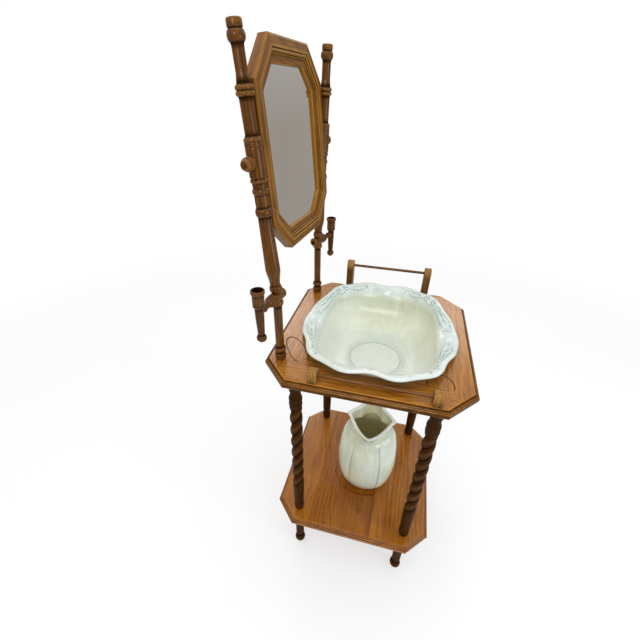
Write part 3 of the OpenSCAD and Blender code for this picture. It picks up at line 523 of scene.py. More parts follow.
# %% [markdown]
# ## Turned work
# A turner rests a chisel on a spinning blank, so every turned piece is its outline carried round an
# axis. The outline is written as the turner would cut it: beads, swells, coves and straight
# stretches. It is then sampled at even steps and blurred a little, which rounds every arris the way
# sandpaper does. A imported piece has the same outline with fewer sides, so the new one fits over it.

# %% Outlines
ROUND = 72  # columns round a turned piece
STRAIGHT = 0.002  # a point that leaves the line of its neighbours by less can go


def bead(z0, z1, r, swell, steps=20):
    """Half an ellipse that swells from radius r between two heights."""
    a = np.linspace(0, np.pi, steps)
    return np.stack([r + swell * np.sin(a), (z0 + z1) / 2 - (z1 - z0) / 2 * np.cos(a)], 1)


def sweep_to(r0, z0, r1, z1, steps=16):
    """A smooth change of radius that starts and ends straight, as half a cosine."""
    t = np.linspace(0, 1, steps)
    return np.stack([r0 + (r1 - r0) * (1 - np.cos(np.pi * t)) / 2, z0 + (z1 - z0) * t], 1)


def arc(cr, cz, rr, rz, a0, a1, steps=16):
    """Part of an ellipse round (cr, cz), between two angles in degrees."""
    a = np.radians(np.linspace(a0, a1, steps))
    return np.stack([cr + rr * np.cos(a), cz + rz * np.sin(a)], 1)


def outline(*stretches):
    """Joins stretches into one outline and drops points that repeat their neighbour."""
    p = np.concatenate([np.atleast_2d(np.array(s, float)) for s in stretches])
    keep = np.r_[True, np.hypot(*np.diff(p, axis=0).T) > 0.02]
    return p[keep]


def beside(p, closed):
    """The neighbours before and after each point; an open end is its own neighbour."""
    before, after = np.roll(p, 1, 0), np.roll(p, -1, 0)
    if not closed:
        before[0], after[-1] = p[0], p[-1]
    return before, after


def sanded(p, step=0.6, closed=False):
    """Samples an outline at even steps, blurs it, and drops points where it runs straight.

    The blur gives each sample the mean of itself and its two neighbours."""
    if closed:
        p = np.concatenate([p, p[:1]])
    run = np.r_[0, np.cumsum(np.hypot(*np.diff(p, axis=0).T))]
    at = np.linspace(0, run[-1], max(int(run[-1] / step), 8) + 1)
    q = np.stack([np.interp(at, run, p[:, 0]), np.interp(at, run, p[:, 1])], 1)
    if closed:
        q = q[:-1]
    before, after = beside(q, closed)
    soft = (before + q + after) / 3
    if not closed:
        soft[0], soft[-1] = q[0], q[-1]
    before, after = beside(soft, closed)
    bend = np.abs(before + after - 2 * soft).max(1)
    keep = (bend > STRAIGHT) | (np.arange(len(soft)) % 10 == 0)
    keep[-1] |= not closed
    return soft[keep]


def hollow_of(p, reach=4.0):
    """How far each outline point lies inside the mean radius of its neighbourhood, from -1 to 1."""
    z = p[:, 1]
    near = np.exp(-((z[:, None] - z[None]) / reach) ** 2)
    mean = (near * p[None, :, 0]).sum(1) / near.sum(1)
    return np.clip((mean - p[:, 0]) / 0.9, -1, 1)


def turn_on_axis(p, sides=ROUND):
    """The grid of an outline carried round the Z axis: x = r cos a, y = r sin a, z as given."""
    a = np.linspace(0, 2 * np.pi, sides, endpoint=False)
    r, z = p[:, :1], np.broadcast_to(p[:, 1:], (len(p), sides))
    return np.stack([r * np.cos(a), r * np.sin(a), z], -1)


def moved(points, matrix):
    """Carries points, in millimetres, through a 4 by 4 matrix."""
    m = np.array(matrix)
    return points @ m[:3, :3].T + m[:3, 3]


def shift(x, y, z):
    return Matrix.Translation((x, y, z))


def turn(degrees, axis):
    return Matrix.Rotation(math.radians(degrees), 4, axis)


def plank(points, seed, along=(2, 0, 1)):
    """Place in the plank: the chosen axis comes first, and a shift that differs for each piece."""
    picks = np.stack([points[..., k] for k in along], -1)
    spot = np.random.default_rng(seed).uniform(-1, 1, 3) * (400, 14, 9)
    return picks + spot


def turned(node, p, matrix, material, body, seed, sides=ROUND, step=0.6, suffix="_turned"):
    """A turned piece from its outline, put in its place by a matrix."""
    p = sanded(p, step)
    local = turn_on_axis(p, sides)
    hollow = np.repeat((hollow_of(p) * np.clip(p[:, 0] / 4, 0, 1))[:, None], sides, 1)
    mesh = grid_mesh(node + suffix, moved(local, matrix), plank(local, seed), hollow)
    return place(node + suffix, mesh, material, body, node)


print("outlines are cut at", ROUND, "sides")

# %% [markdown]
# ## The legs
# A barley twist is cut with a gouge that climbs the leg while the leg turns, here with two ridges
# that each go round once in 77 mm. A twisted copy of a flat section would do it with one modifier,
# but a formula lets the twist die away smoothly into the turned ends, as it does on the real leg.

# %% Barley-twist legs
twist_ridge, twist_groove, twist_lead, twist_fade = 13.8, 9.6, 77.0, 9.0
leg_low, leg_high, leg_end = 104.0, 87.0, 13.0
tenon_r, tenon_h = 8.0, 12.0
leg_len = board_top - board_t - shelf_top
twist_end = leg_len - leg_high
LEG_PHASES = [2, 20, 49, 70]
leg_outline = sanded(outline(
    [[10, 0]], bead(1.5, 27, 10, 2.3), [[10.3, 30], [10.3, 33], [leg_end - 1, 37]],
    [[leg_end + 0.6, leg_low], [leg_end - 0.6, leg_low + 4], [leg_end - 0.6, twist_end - 4]],
    bead(twist_end, twist_end + 13, leg_end - 0.4, 1.5),
    bead(twist_end + 13, twist_end + 26, leg_end - 0.4, 1.5),
    sweep_to(leg_end - 1, twist_end + 27, leg_end - 2.2, twist_end + 39),
    [[leg_end - 2.2, twist_end + 41], [leg_end, twist_end + 44], [leg_end, leg_len]]), 0.5)


def leg_radius(z, a, phase):
    """Radius of a leg at height z and angle a, and how far the twist has come in.

    In the twist it is groove + (ridge - groove) * |cos(a - turn)| to the power 0.75, where turn
    grows evenly with height. At both ends it fades over 9 mm into the turned outline."""
    plain = np.interp(z, leg_outline[:, 1], leg_outline[:, 0])
    turns = 2 * np.pi * (z - leg_low + 1) / twist_lead + math.radians(phase)
    lobe = (np.cos(a - turns) ** 2 + 0.012) ** 0.375
    rope = twist_groove + (twist_ridge - twist_groove) * np.minimum(lobe, 1.0)
    rise = (np.clip((z - leg_low + 1) / twist_fade, 0, 1)
            * np.clip((twist_end + 1 - z) / twist_fade, 0, 1))
    ease = rise * rise * (3 - 2 * rise)
    return plain * (1 - ease) + rope * ease, ease


def make_leg(leg, phase, seed):
    """One leg: rows climb the leg and columns go round it, with a tenon on top."""
    z = np.unique(np.concatenate([
        np.arange(0, 40, 0.8), np.arange(40, leg_low - 2, 8),
        np.arange(leg_low - 2, twist_end, 1.3), np.arange(twist_end, leg_len - 40, 0.7),
        np.arange(leg_len - 40, leg_len, 8), [leg_len]]))[:, None]
    a = np.linspace(0, 2 * np.pi, ROUND, endpoint=False)[None]
    r, ease = leg_radius(z, a, phase)
    mid = (twist_ridge + twist_groove) / 2 + 0.6
    hollow = np.clip((mid - r) / 2.0, -1, 1) * ease
    local = np.stack([r * np.cos(a), r * np.sin(a), np.broadcast_to(z, r.shape)], -1)
    tenon = turn_on_axis(np.array([[tenon_r, leg_len], [tenon_r, leg_len + tenon_h]]))
    local = np.concatenate([local, tenon])
    hollow = np.concatenate([hollow, np.zeros((2, ROUND))])
    x, y, _ = middle("foot_" + leg)
    name = "leg_" + leg
    mesh = grid_mesh(name + "_twist", local + (x, y, shelf_top), plank(local, seed), hollow)
    return place(name + "_twist", mesh, oak_leg, "stand", name)


for i, leg in enumerate(LEGS):
    make_leg(leg, LEG_PHASES[i], 10 + i)

# %% Feet
foot_r, foot_pad, foot_neck = 14.0, 6.0, 12.0
foot_h = shelf_top - shelf_t
foot_outline = outline(
    [[0, 0], [foot_pad, 0]], arc(0, foot_r, foot_r, foot_r - 0.6, -60, 60, 30),
    sweep_to(foot_neck - 0.9, foot_r + 26, foot_neck, foot_h - 30),
    [[foot_neck, foot_h], [0, foot_h]])
for i, leg in enumerate(LEGS):
    x, y, _ = middle("foot_" + leg)
    turned("foot_" + leg, foot_outline, shift(x, y, 0), oak_leg, "stand", 20 + i)

# %% [markdown]
# ## The posts
# Each post is two turnings on one pin, with the arm's barrel between them. Only the upper one
# leans, because the joint above the barrel has worked loose. Its foot is cut level where it stands
# on the barrel, so the rows below that level are lifted to it.

# %% Mirror posts
LEAN = {"left": -5.1, "right": 2.3}
arm_r, hub_h, run_gap = 10.2, 13.8, 0.3
post_r, post_thin, post_top = 12.5, 8.0, 512.0
seat_half = hub_h / 2 + run_gap
joint_up = arm_joint["left"][2] - board_top
pivot_up = pivot[2] - board_top
block_low = pivot_up - joint_up - 20
block_high = pivot_up - joint_up + 27
cap_up = post_top - joint_up
seat = joint_up - seat_half

post_base_outline = outline(
    [[0, 0], [9, 0]], bead(0.5, 14, 8.7, 2.3), [[8.5, 15], [8.5, 17.5]], bead(18, 28, 8.3, 3),
    [[post_thin, 31], [post_thin, seat - 12]], bead(seat - 10.5, seat, 8.8, 2.2), [[0, seat]])
post_outline = outline(
    [[0, 2], [9, 2]], bead(9.5, 21, 9, 2), [[8.8, 22.5], [9, 26.5]], sweep_to(9, 26.5, post_r, 52),
    [[10.5, block_low - 62]], bead(block_low - 56, block_low - 43, 10.4, 2.6),
    [[10.8, block_low - 38], [10.8, block_low - 28]],
    bead(block_low - 23, block_low - 15, 10.6, 1.7),
    sweep_to(10.6, block_low - 13, 10.8, block_low - 8),
    bead(block_low - 7, block_low - 1, 10.8, 2),
    [[post_r, block_low + 1], [post_r, block_high - 8], [post_r - 0.8, block_high - 7]],
    [[post_r, block_high - 6], [post_r, block_high]],
    bead(block_high, block_high + 4, post_r - 1, 1.3),
    sweep_to(post_r - 1, block_high + 4, 9.3, block_high + 8), [[9.3, cap_up - 82]],
    bead(cap_up - 79, cap_up - 72.5, 10, 2.5), bead(cap_up - 72.5, cap_up - 66, 10, 2.5),
    [[9.5, cap_up - 65], [post_thin, cap_up - 54], [post_thin, cap_up - 26]],
    bead(cap_up - 23, cap_up - 11, 9, 2.5), [[8.7, cap_up - 10], [9.8, cap_up - 9]],
    arc(7.8, cap_up - 2, 2, 2, 0, 90), [[0, cap_up]])


def make_post(side):
    """The leaning upper section: turned, leaned, then cut level at its seat."""
    p = sanded(post_outline)
    local = turn_on_axis(p)
    points = moved(local, shift(*arm_joint[side]) @ turn(LEAN[side], "X"))
    points[..., 2] = np.maximum(points[..., 2], arm_joint[side][2] + seat_half)
    hollow = np.repeat(hollow_of(p)[:, None], ROUND, 1)
    name = side + "_post_turned"
    mesh = grid_mesh(name, points, plank(local, 30 + len(side)), hollow)
    return place(name, mesh, oak_turned, "stand", side + "_post")


for side in SIDES:
    matrix = shift(*arm_joint[side][:2], board_top)
    turned(side + "_post_base", post_base_outline, matrix, oak_turned, "stand", 34 + len(side))
    make_post(side)

# %% [markdown]
# ## The arms and candle cups
# An arm is one turning: a barrel with two flats that the post's sections close on, two rings and a
# slim stem that is glued into the cup. The flats are planed after turning, so here too the points
# of the barrel are pressed down to the two planes.

# %% Arms and candle cups
arm_len, flat_half = 59.0, 12.0
cup_above, cup_below, socket_r, socket_deep = 41.0, 59.0, 8.5, 18.0
cup_rim, cup_r, cup_neck, cup_ball = 11.6, 9.95, 7.5, 8.65
ARM_TURN = {"left": 180 - 8.7, "right": -20.0}
arm_outline = outline(
    arc(0, -flat_half - 3.5, arm_r, 5, -90, 0), [[9, -flat_half - 1], [8.2, -flat_half]],
    [[arm_r, 1 - flat_half], [arm_r, flat_half - 1], [8.2, flat_half]],
    bead(flat_half + 0.5, flat_half + 7, arm_r - 1.4, 1.7),
    bead(flat_half + 7.5, flat_half + 14, arm_r - 1.8, 1.7),
    sweep_to(8, flat_half + 15, 5.6, flat_half + 23), bead(arm_len - 16, arm_len - 11, 5.6, 1.6),
    [[5.6, arm_len - 5], [0, arm_len - 5]])
cup_outline = outline(
    [[0, -cup_below], [2.5, -cup_below]],
    arc(0, cup_ball - cup_below, cup_ball, cup_ball - 0.4, -70, 52, 30),
    [[5.6, 17 - cup_below], [6, 19 - cup_below], [cup_neck, -7], [cup_neck, 7]],
    sweep_to(cup_neck, 7, cup_r, 12.5), [[cup_r, cup_above - 8]],
    sweep_to(cup_r, cup_above - 8, cup_rim, cup_above - 6),
    [[cup_rim, cup_above - 1.2], [cup_rim - 1, cup_above], [socket_r + 0.5, cup_above]],
    [[socket_r, cup_above - 0.6], [socket_r, cup_above - socket_deep]],
    [[0, cup_above - socket_deep]])


def make_arm(side):
    """The arm: an outline carried round the arm's own axis, with its barrel pressed flat."""
    p = sanded(arm_outline, 0.45)
    local = turn_on_axis(p)
    x, y, z = local[..., 2], local[..., 1], -local[..., 0]
    z = np.where(np.abs(x) < flat_half, np.clip(z, -hub_h / 2, hub_h / 2), z)
    local = np.stack([x, y, z], -1)
    matrix = shift(*arm_joint[side]) @ turn(ARM_TURN[side], "Z")
    hollow = np.repeat(hollow_of(p, 3.0)[:, None], ROUND, 1)
    grain = plank(local, 40 + len(side), (0, 1, 2))
    name, body = side + "_arm_turned", side + "_arm"
    mesh = grid_mesh(name, moved(local, matrix), grain, hollow, sharp=40)
    place(name, mesh, oak_turned, body, side + "_arm")
    turned(side + "_candle_cup", cup_outline, matrix @ shift(arm_len, 0, 0), oak_cup, body,
           44 + len(side), step=0.45)


for side in SIDES:
    make_arm(side)

# %% [markdown]
# ## Plates with a moulded edge
# The board and the shelf are eight-sided plates with the same moulding on every side. A router
# cuts it, so the profile is carried round the outline and turns each corner in a mitre. The rows
# of the grid go over the top, down the moulding and back under the plate. The columns go round
# the eight sides.

# %% Moulded plates
SIDE_STEPS, FLAT_ROWS = 14, 12  # columns along a side, and rows across the flat top


def corners(hx, hy, cx, cy, d):
    """The eight corners of the outline, moved in by each distance in d: shape (8, len(d), 2)."""
    d = np.asarray(d, float)
    slope = math.hypot(cx, cy)
    x, y = hx - d, hy - d
    bx = cx - d + d * (slope - cx) / cy
    by = cy - d + d * (slope - cy) / cx
    ring = [(x, by - y), (x, y - by), (x - bx, y), (bx - x, y), (-x, y - by), (-x, by - y),
            (bx - x, -y), (x - bx, -y)]
    return np.array([np.stack(c, -1) for c in ring])


def round_the_sides(ring):
    """Points along the eight sides: shape (len(d), 8 * SIDE_STEPS, 2), corners included."""
    t = (np.arange(SIDE_STEPS) / SIDE_STEPS)[None, :, None, None]
    side = ring[:, None] * (1 - t) + np.roll(ring, -1, 0)[:, None] * t
    return side.reshape(-1, *ring.shape[1:]).transpose(1, 0, 2)


def superellipse(a, hx, hy, n):
    """Radius of a rounded rectangle in direction a: (|cos/hx|^n + |sin/hy|^n) to the power -1/n."""
    return (np.abs(np.cos(a) / hx) ** n + np.abs(np.sin(a) / hy) ** n) ** (-1 / n)


def hollow_in_profile(p, reach=5):
    """How deep each profile point lies behind the chord between points a few steps away."""
    before = np.concatenate([np.repeat(p[:1], reach, 0), p[:-reach]])
    after = np.concatenate([p[reach:], np.repeat(p[-1:], reach, 0)])
    chord, away = after - before, p - before
    cross = chord[:, 0] * away[:, 1] - chord[:, 1] * away[:, 0]
    return np.clip(cross / (np.hypot(*chord.T) + 0.01) / 0.35, -1, 1)


def at_height(xy, z):
    """Adds one height to a grid of flat points."""
    return np.concatenate([xy, np.full((*xy.shape[:2], 1), z)], -1)


def make_plate(node, suffix, size, cut, top, profile, material, seed, grain_axes, hole=None,
               edge_stain_and_shade=1.3, edge_wear=0.2):
    """A plate whose edge follows the profile, given as distance in from the edge and height.

    The first edge number says how much darker the whole moulding is painted, stain and painted
    shade together, and edge_wear how much its own hollows and crests count less than elsewhere.
    hole is a rounded rectangle and how far back it lies."""
    p = sanded(profile, 0.35)
    edge = round_the_sides(corners(size[0] / 2, size[1] / 2, *cut, p[:, 0]))
    heights = np.broadcast_to(p[:, 1][:, None, None], (*edge.shape[:2], 1))
    a = np.arctan2(edge[0, :, 1], edge[0, :, 0])
    inner, start = np.zeros((len(a), 2)), 0.04
    if hole is not None:
        r = superellipse(a, *hole[:3])
        inner, start = np.stack([r * np.cos(a), r * np.sin(a) + hole[3]], -1), 0.0
    t = np.linspace(start, 1, FLAT_ROWS)[:, None, None]
    over = at_height(inner * (1 - t) + edge[0] * t, p[0, 1])
    under = at_height(edge[-1] * (1 - t + start) + inner * (t - start), p[-1, 1])
    points = np.concatenate([over[:-1], np.concatenate([edge, heights], -1), under[1:]])
    moulded = np.clip((np.arange(len(p)) - 6) / 6, 0, 1)
    # The whole moulding is painted darker: stain and the painted shade of the edge together.
    stained = hollow_in_profile(p) * (1 - edge_wear * moulded) + edge_stain_and_shade * moulded
    flat = np.zeros(FLAT_ROWS - 1)
    hollow = np.concatenate([flat, np.clip(stained, -1, 1), flat])
    hollow = np.repeat(hollow[:, None], len(a), 1)
    grain = np.stack([points[..., k] for k in grain_axes], -1) + np.array([seed * 37.0, 0, 0])
    mesh = grid_mesh(node + suffix, points + (0, 0, top), grain, hollow,
                     close_rows=hole is not None, sharp=40)
    return place(node + suffix, mesh, material, "stand", node)


board_mould, board_step, board_nose, board_under = 8.0, 2.2, 8.5, 6.0
nose_band, board_groove = 1.5, 0.8
nose_curve = (board_mould - 1, -board_nose, 1 - board_mould, board_nose - board_step)
board_profile = outline(
    [[board_mould + 4, 0], [board_mould, 0], [board_mould, -board_step]],
    arc(*nose_curve, 90, 50, 10), arc(*nose_curve, 46, 46, 1) + (board_groove, -board_groove),
    arc(*nose_curve, 42, 0, 10),
    arc(board_under, -board_nose - nose_band, -board_under,
        board_t - board_nose - 2 * nose_band, 0, -90),
    [[board_under, -board_t], [board_under + 4, -board_t]])
basin_ahead = -middle("basin")[1]
seat_x, seat_y, bowl_square = 150.0, 127.0, 3.6
make_plate("top_board", "_moulded", board_size, (56, 53), board_top, board_profile, oak_board,
           1, (1, 0, 2), hole=(seat_x + run_gap, seat_y + run_gap, bowl_square, -basin_ahead))

shelf_mould, shelf_step, shelf_nose, shelf_under = 8.8, 1.6, 12.0, 5.0
shelf_reeds, reed_out = 3, 1.1


def reeds():
    """The reeded slope: a straight run with half-round reeds standing out from it."""
    t = np.linspace(0, 1, 14 * shelf_reeds + 1)
    run = np.array([-shelf_mould, shelf_step - shelf_nose])
    out = np.array([run[1], -run[0]]) / np.hypot(*run)
    swell = reed_out * np.abs(np.sin(np.pi * shelf_reeds * t))
    return np.array([shelf_mould, -shelf_step]) + run * t[:, None] + out * swell[:, None]


shelf_profile = outline(
    [[shelf_mould + 4, 0], [shelf_mould, 0]], reeds(),
    arc(shelf_under, -shelf_nose - nose_band, -shelf_under, shelf_t - shelf_nose - nose_band,
        0, -90),
    [[shelf_under + 4, -shelf_t]])
make_plate("lower_shelf", "_reeded", shelf_size, (51.5, 51.5), shelf_top, shelf_profile,
           oak_shelf, 2, (0, 1, 2), edge_stain_and_shade=1.2, edge_wear=-0.1)

# %% [markdown]
# ## The towel rails
# A bracket is a small block with a rounded top, and the bar is a dowel let into both brackets.
# The block's arrises are worn round by hands and towels.

# %% Brackets and bars
bracket_r, bar_r, arris = 13.0, 3.25, 1.1


def bracket_outline(shrink, bar_up, steps=28):
    """The outline of a bracket seen along the bar, with every side moved in by shrink."""
    r = bracket_r - shrink
    a = np.radians(np.linspace(0, 180, steps))
    top = np.stack([r * np.cos(a), bar_up + r * np.sin(a)], 1)
    left = np.stack([np.full(8, -r), np.linspace(bar_up, 0, 8)], 1)
    foot = np.stack([np.linspace(-r, r, 10), np.zeros(10)], 1)
    right = np.stack([np.full(8, r), np.linspace(0, bar_up, 8)], 1)
    return np.concatenate([top, left[1:], foot[1:], right[1:-1]])


def make_bracket(node, bar, seed):
    """Rows step through the bracket's thickness; the first and last ones draw in round the arris.

    It is painted darker towards its foot: painted shade, with the light falling from above."""
    lo, hi = low(node), high(node)
    bar_up = middle(bar)[2] - board_top
    half = (hi[1] - lo[1]) / 2
    curve = arris * (1 - np.cos(np.radians(np.linspace(0, 90, 7))))
    y = np.sort(np.r_[curve - half, np.linspace(arris - half, half - arris, 7)[1:-1], half - curve])
    past = np.maximum(np.abs(y) - half + arris, 0)
    shrink = arris - np.sqrt(np.maximum(arris ** 2 - past ** 2, 0))
    rings = np.array([bracket_outline(k, bar_up) for k in shrink])
    across, up = rings[..., 0], rings[..., 1]
    local = np.stack([across, np.broadcast_to(y[:, None], up.shape), up], -1)
    # Painted shade darkens the bracket towards its foot; the worn arrises are paler.
    hollow = 0.75 * np.clip((bar_up + 4 - up) / 14, 0, 1) - shrink[:, None] / arris * 0.6
    points = local + ((lo[0] + hi[0]) / 2, (lo[1] + hi[1]) / 2, board_top)
    mesh = grid_mesh(node + "_worn_and_shaded", points, plank(local, seed), hollow, sharp=35)
    return place(node + "_worn_and_shaded", mesh, oak_bracket, "stand", node)


for i, side in enumerate(SIDES):
    bar = side + "_towel_bar"
    for j, end in enumerate(("front", "back")):
        make_bracket(f"{side}_{end}_bracket", bar, 60 + 2 * i + j)
    x, _, z = middle(bar)
    bar_len = high(bar)[1] - low(bar)[1]
    rod = outline([[0, 0], [bar_r, 0], [bar_r, bar_len], [0, bar_len]])
    turned(bar, rod, shift(x, low(bar)[1], z) @ turn(-90, "X"), oak_turned, "stand", 66 + i,
           sides=40, step=1.5, suffix="_dowel")

# %% [markdown]
# ## The mirror frame
# Eight lengths of one moulding, cut at matching angles and glued. Each stick keeps its own grain,
# which is what makes the mitres show, so each is a mesh of its own: the moulding's profile, with a
# row at each mitre and a few between them.

# %% Frame sticks
STICKS = ["right", "top_right", "top", "top_left", "left", "bottom_left", "bottom", "bottom_right"]
MITRE_GAP = 0.08
mirror_w, mirror_h, frame_t, rail_w, frame_cut = 257.0, 305.2, 17.0, 33.5, (57.0, 54.0)
mirror_tilt, frame_ahead = 5.1, 8.7
rebate_w, rebate_deep, sight_lip = 7.0, 6.0, 3.0
flat_w, quirk_w, ring_w, fillet_w, cove_w, ledge_w = 15.5, 0.5, 4.4, 2.1, 5.0, 1.0
step_h, lip_h = 1.8, 2.0
at_pivot = shift(*pivot) @ turn(math.degrees(mirror_yaw), "Z")
in_mirror = (at_pivot @ turn(-mirror_tilt, "X") @ shift(0, frame_t - frame_ahead, 0)
             @ turn(90, "X"))
frame_floor = frame_t - 2 * step_h
ring_at = flat_w + quirk_w + ring_w / 2
cove_at = flat_w + quirk_w + ring_w + fillet_w + cove_w
lip_z = rebate_deep + sight_lip
frame_profile = sanded(outline(
    [[0, 0]], arc(3, frame_t - 3, -3, 3, 0, 90), [[flat_w, frame_t], [flat_w, frame_t - step_h]],
    arc(ring_at, frame_floor + 0.8, -ring_w / 2, 1.7, 0, 180),
    [[ring_at + ring_w / 2, frame_floor]], [[cove_at - cove_w, frame_floor]],
    arc(cove_at, frame_floor, -cove_w, frame_floor - lip_z - lip_h, 0, -90),
    arc(cove_at + ledge_w, lip_z, cove_at + ledge_w - rail_w, lip_h, 90, 180),
    [[rail_w, rebate_deep], [rail_w - rebate_w, rebate_deep], [rail_w - rebate_w, 0]]),
    0.3, closed=True)


def make_stick(i, rows=9):
    """Stick i of the frame, from one mitre to the next, with a hair's breadth of play at each."""
    ring = corners(mirror_w / 2, mirror_h / 2, *frame_cut, frame_profile[:, 0])
    a, b = ring[i], ring[(i + 1) % 8]
    way = (b - a) / np.hypot(*(b - a).T)[:, None]
    t = np.linspace(0, 1, rows)[:, None, None]
    flat = (a + MITRE_GAP * way) * (1 - t) + (b - MITRE_GAP * way) * t
    z = np.broadcast_to(frame_profile[:, 1], flat.shape[:2])
    along = flat[..., 0] * way[0, 0] + flat[..., 1] * way[0, 1]
    across = np.broadcast_to(frame_profile[:, 0], along.shape)
    spot = np.random.default_rng(80 + i).uniform(-1, 1, 3) * (500, 20, 8)
    hollow = np.repeat(-hollow_in_profile(frame_profile, 4)[None], rows, 0)
    points = np.stack([flat[..., 0], flat[..., 1], z], -1)
    name = "frame_" + STICKS[i]
    mesh = grid_mesh(name + "_moulded", moved(points, in_mirror),
                     np.stack([along, across, z], -1) + spot, hollow, sharp=40)
    return place(name + "_moulded", mesh, oak_frame, "mirror", name)


for i in range(len(STICKS)):
    make_stick(i)

# %% Knobs
knob_r, knob_len = 9.8, 23.0
ring = knob_len / 5
knob_outline = outline(
    [[0, 0], [knob_r - 3.4, 0], [knob_r - 3.4, ring]], bead(ring, 2 * ring, knob_r - 1.6, 1.6),
    bead(2 * ring, 3 * ring, knob_r - 1.6, 1.6), [[knob_r - 1.8, 3 * ring + 0.2]],
    arc(0, 3 * ring + 0.6, knob_r - 1.4, knob_len - 3 * ring - 1.6, 0, 60),
    bead(knob_len - 2.2, knob_len, 1.6, 1.4), [[0, knob_len]])
washer_gap, washer_t = 0.1, 1.5
pivot_half = mirror_w / 2 + washer_gap + washer_t + run_gap + post_r
for sign, side in ((-1, "left"), (1, "right")):
    matrix = (at_pivot @ shift(sign * (pivot_half + post_r + run_gap), 0, 0)
              @ turn(90 * sign, "Y"))
    turned(side + "_knob", knob_outline, matrix, oak_turned, side + "_knob", 90 + sign, step=0.35)

# %% [markdown]
# ## The glaze
# Basin and pitcher have an off-white glaze with a green cast over pale clay. It runs off crests and
# gathers in hollows, where it turns blue-grey. Soft brush marks go round the pot. The base colour
# holds all of that, and the inside of a pot is warmer than its outside. It also holds painted shade
# and painted light: the blue-grey darkens the underside of the basin's rim, its foot line and the
# pitcher below its mouth, the pale worn-glaze colour lightens the basin's floor and long sides, the
# warm inside tone lies heaviest on the basin's far wall, and the pitcher's inside is painted near
# white. A clear coat gives the sharp reflections, over a slightly rougher body. The marks could
# follow the room's axes, but a pot is brushed while it turns, so they follow the pot: round it, and
# along its profile.

# %% Glaze materials
def make_brushwork():
    """Clouds, brush marks round and along the pot, and specks, from a place on the pot's skin."""
    s, given, out = new_group("glaze brushwork", {
        "Vector": (0, 0, 0), "Object": (0, 0, 0), "Hollow": 0.0},
        ["Clouds", "Bands", "Runs", "Specks", "Pool and shade"])
    clouds = s.noise(given["Object"], 11.0, 4.0, 0.55)
    s.fill(out, {"Clouds": clouds,
                 "Bands": s.noise(given["Vector"], (7.0, 7.0, 190.0), 4.0, 0.6),
                 "Runs": s.noise(given["Vector"], (75.0, 75.0, 7.0), 4.0, 0.6),
                 "Specks": s.noise(given["Object"], 620.0, 2.0, 0.5),
                 "Pool and shade": s.span(given["Hollow"] + (clouds - 0.5) * 0.5, 0.12, 0.72)})
    return s.tree


brushwork = make_brushwork()
THICK_GLAZE, WORN_AND_LIT_GLAZE = rgb(238, 240, 228), rgb(241, 243, 233)


def make_glaze(name, outside, cool, within, pool_and_shade):
    """Outside and inside colour, cool clouds, brush marks and a blue-grey colour in the hollows,
    which also paints shade; negative hollow values give worn glaze and painted light.
    """
    material, s, bsdf = new_material(name)
    hollow, inside = s.attribute("hollow"), s.attribute("inside")
    work = s.use(brushwork, {"Vector": s.attribute("grain", "Vector"), "Object": s.spot(),
                             "Hollow": hollow})
    bands, runs, clouds = work["Bands"], work["Runs"], work["Clouds"]
    base = s.blend(s.span(clouds, 0.36, 0.64), outside, cool)
    base = s.blend(inside, base, within)
    base = s.blend(s.span(bands, 0.52, 0.78, 0.0, 0.12), base, pool_and_shade, "MULTIPLY")
    base = s.blend(s.span(runs, 0.52, 0.78, 0.0, 0.20), base, pool_and_shade, "MULTIPLY")
    base = s.blend(s.span(runs, 0.44, 0.26, 0.0, 0.35), base, THICK_GLAZE)
    # The gathered-glaze colour here also paints shade: under the basin's rim, at its foot line and
    # below the pitcher's mouth.
    base = s.blend(work["Pool and shade"] * 0.95, base, pool_and_shade)
    # Crests take the worn glaze colour; on the basin's floor and long sides the same colour is
    # painted light.
    base = s.blend(s.span(hollow, -0.25, -0.95, 0.0, 0.7), base, WORN_AND_LIT_GLAZE)
    base = s.blend(s.span(work["Specks"], 0.70, 0.76, 0.0, 0.45), base, pool_and_shade, "MULTIPLY")
    ripple = bands * 0.5 + (runs * 0.7 + clouds)
    s.fill(bsdf, {
        "Base Color": base, "Roughness": s.span(bands, 0.3, 0.8, 0.16, 0.30),
        "Normal": s.bump(ripple, 0.0007, 0.6), "Coat Weight": 0.45,
        "Coat Roughness": s.span(inside, 0.08, 0.3, 0.06, 0.30), "Specular IOR Level": 0.22})
    return material


basin_glaze = make_glaze("basin glaze", rgb(212, 220, 212), rgb(205, 216, 210),
                         rgb(210, 213, 188), rgb(112, 128, 132))
# The pitcher's inside colour is near white: painted light inside the jug.
pitcher_glaze = make_glaze("pitcher glaze", rgb(216, 218, 190), rgb(202, 210, 196),
                           rgb(250, 244, 204), rgb(104, 102, 98))


def glazed(name, points, skin, hollow, inside, material, body, *nodes, slot=None):
    """A glazed piece: skin is the place on the pot, and inside goes from 0 outside to 1 inside."""
    mesh = grid_mesh(name, points, skin, hollow, sharp=60)
    inside = np.broadcast_to(inside, points.shape[:2])
    store(mesh, "inside", "FLOAT", np.r_[inside.ravel(), inside[0].mean(), inside[-1].mean()])
    return place(name, mesh, material, body, *nodes, slot=slot)


def pot_skin(points):
    """Place on the pot: its two places across the axis, then the distance run along the profile."""
    steps = np.linalg.norm(np.diff(points, axis=0, prepend=points[:1]), axis=-1)
    run = np.cumsum(steps.mean(1))[:, None]
    return np.stack([points[..., 0], points[..., 1], run + 0 * points[..., 2]], -1)


def column(*values):
    """Numbers and arrays joined into one column, for the rows of a grid."""
    return np.concatenate([np.atleast_1d(np.asarray(v, float)) for v in values])[:, None]


def stacked(**parts):
    """Parts of a pot joined into one grid, and the slice of rows that each part takes up."""
    ends = np.cumsum([0] + [len(part) for part in parts.values()]).tolist()
    rows = {name: slice(*span) for name, *span in zip(parts, ends[:-1], ends[1:])}
    return np.concatenate(list(parts.values())), rows


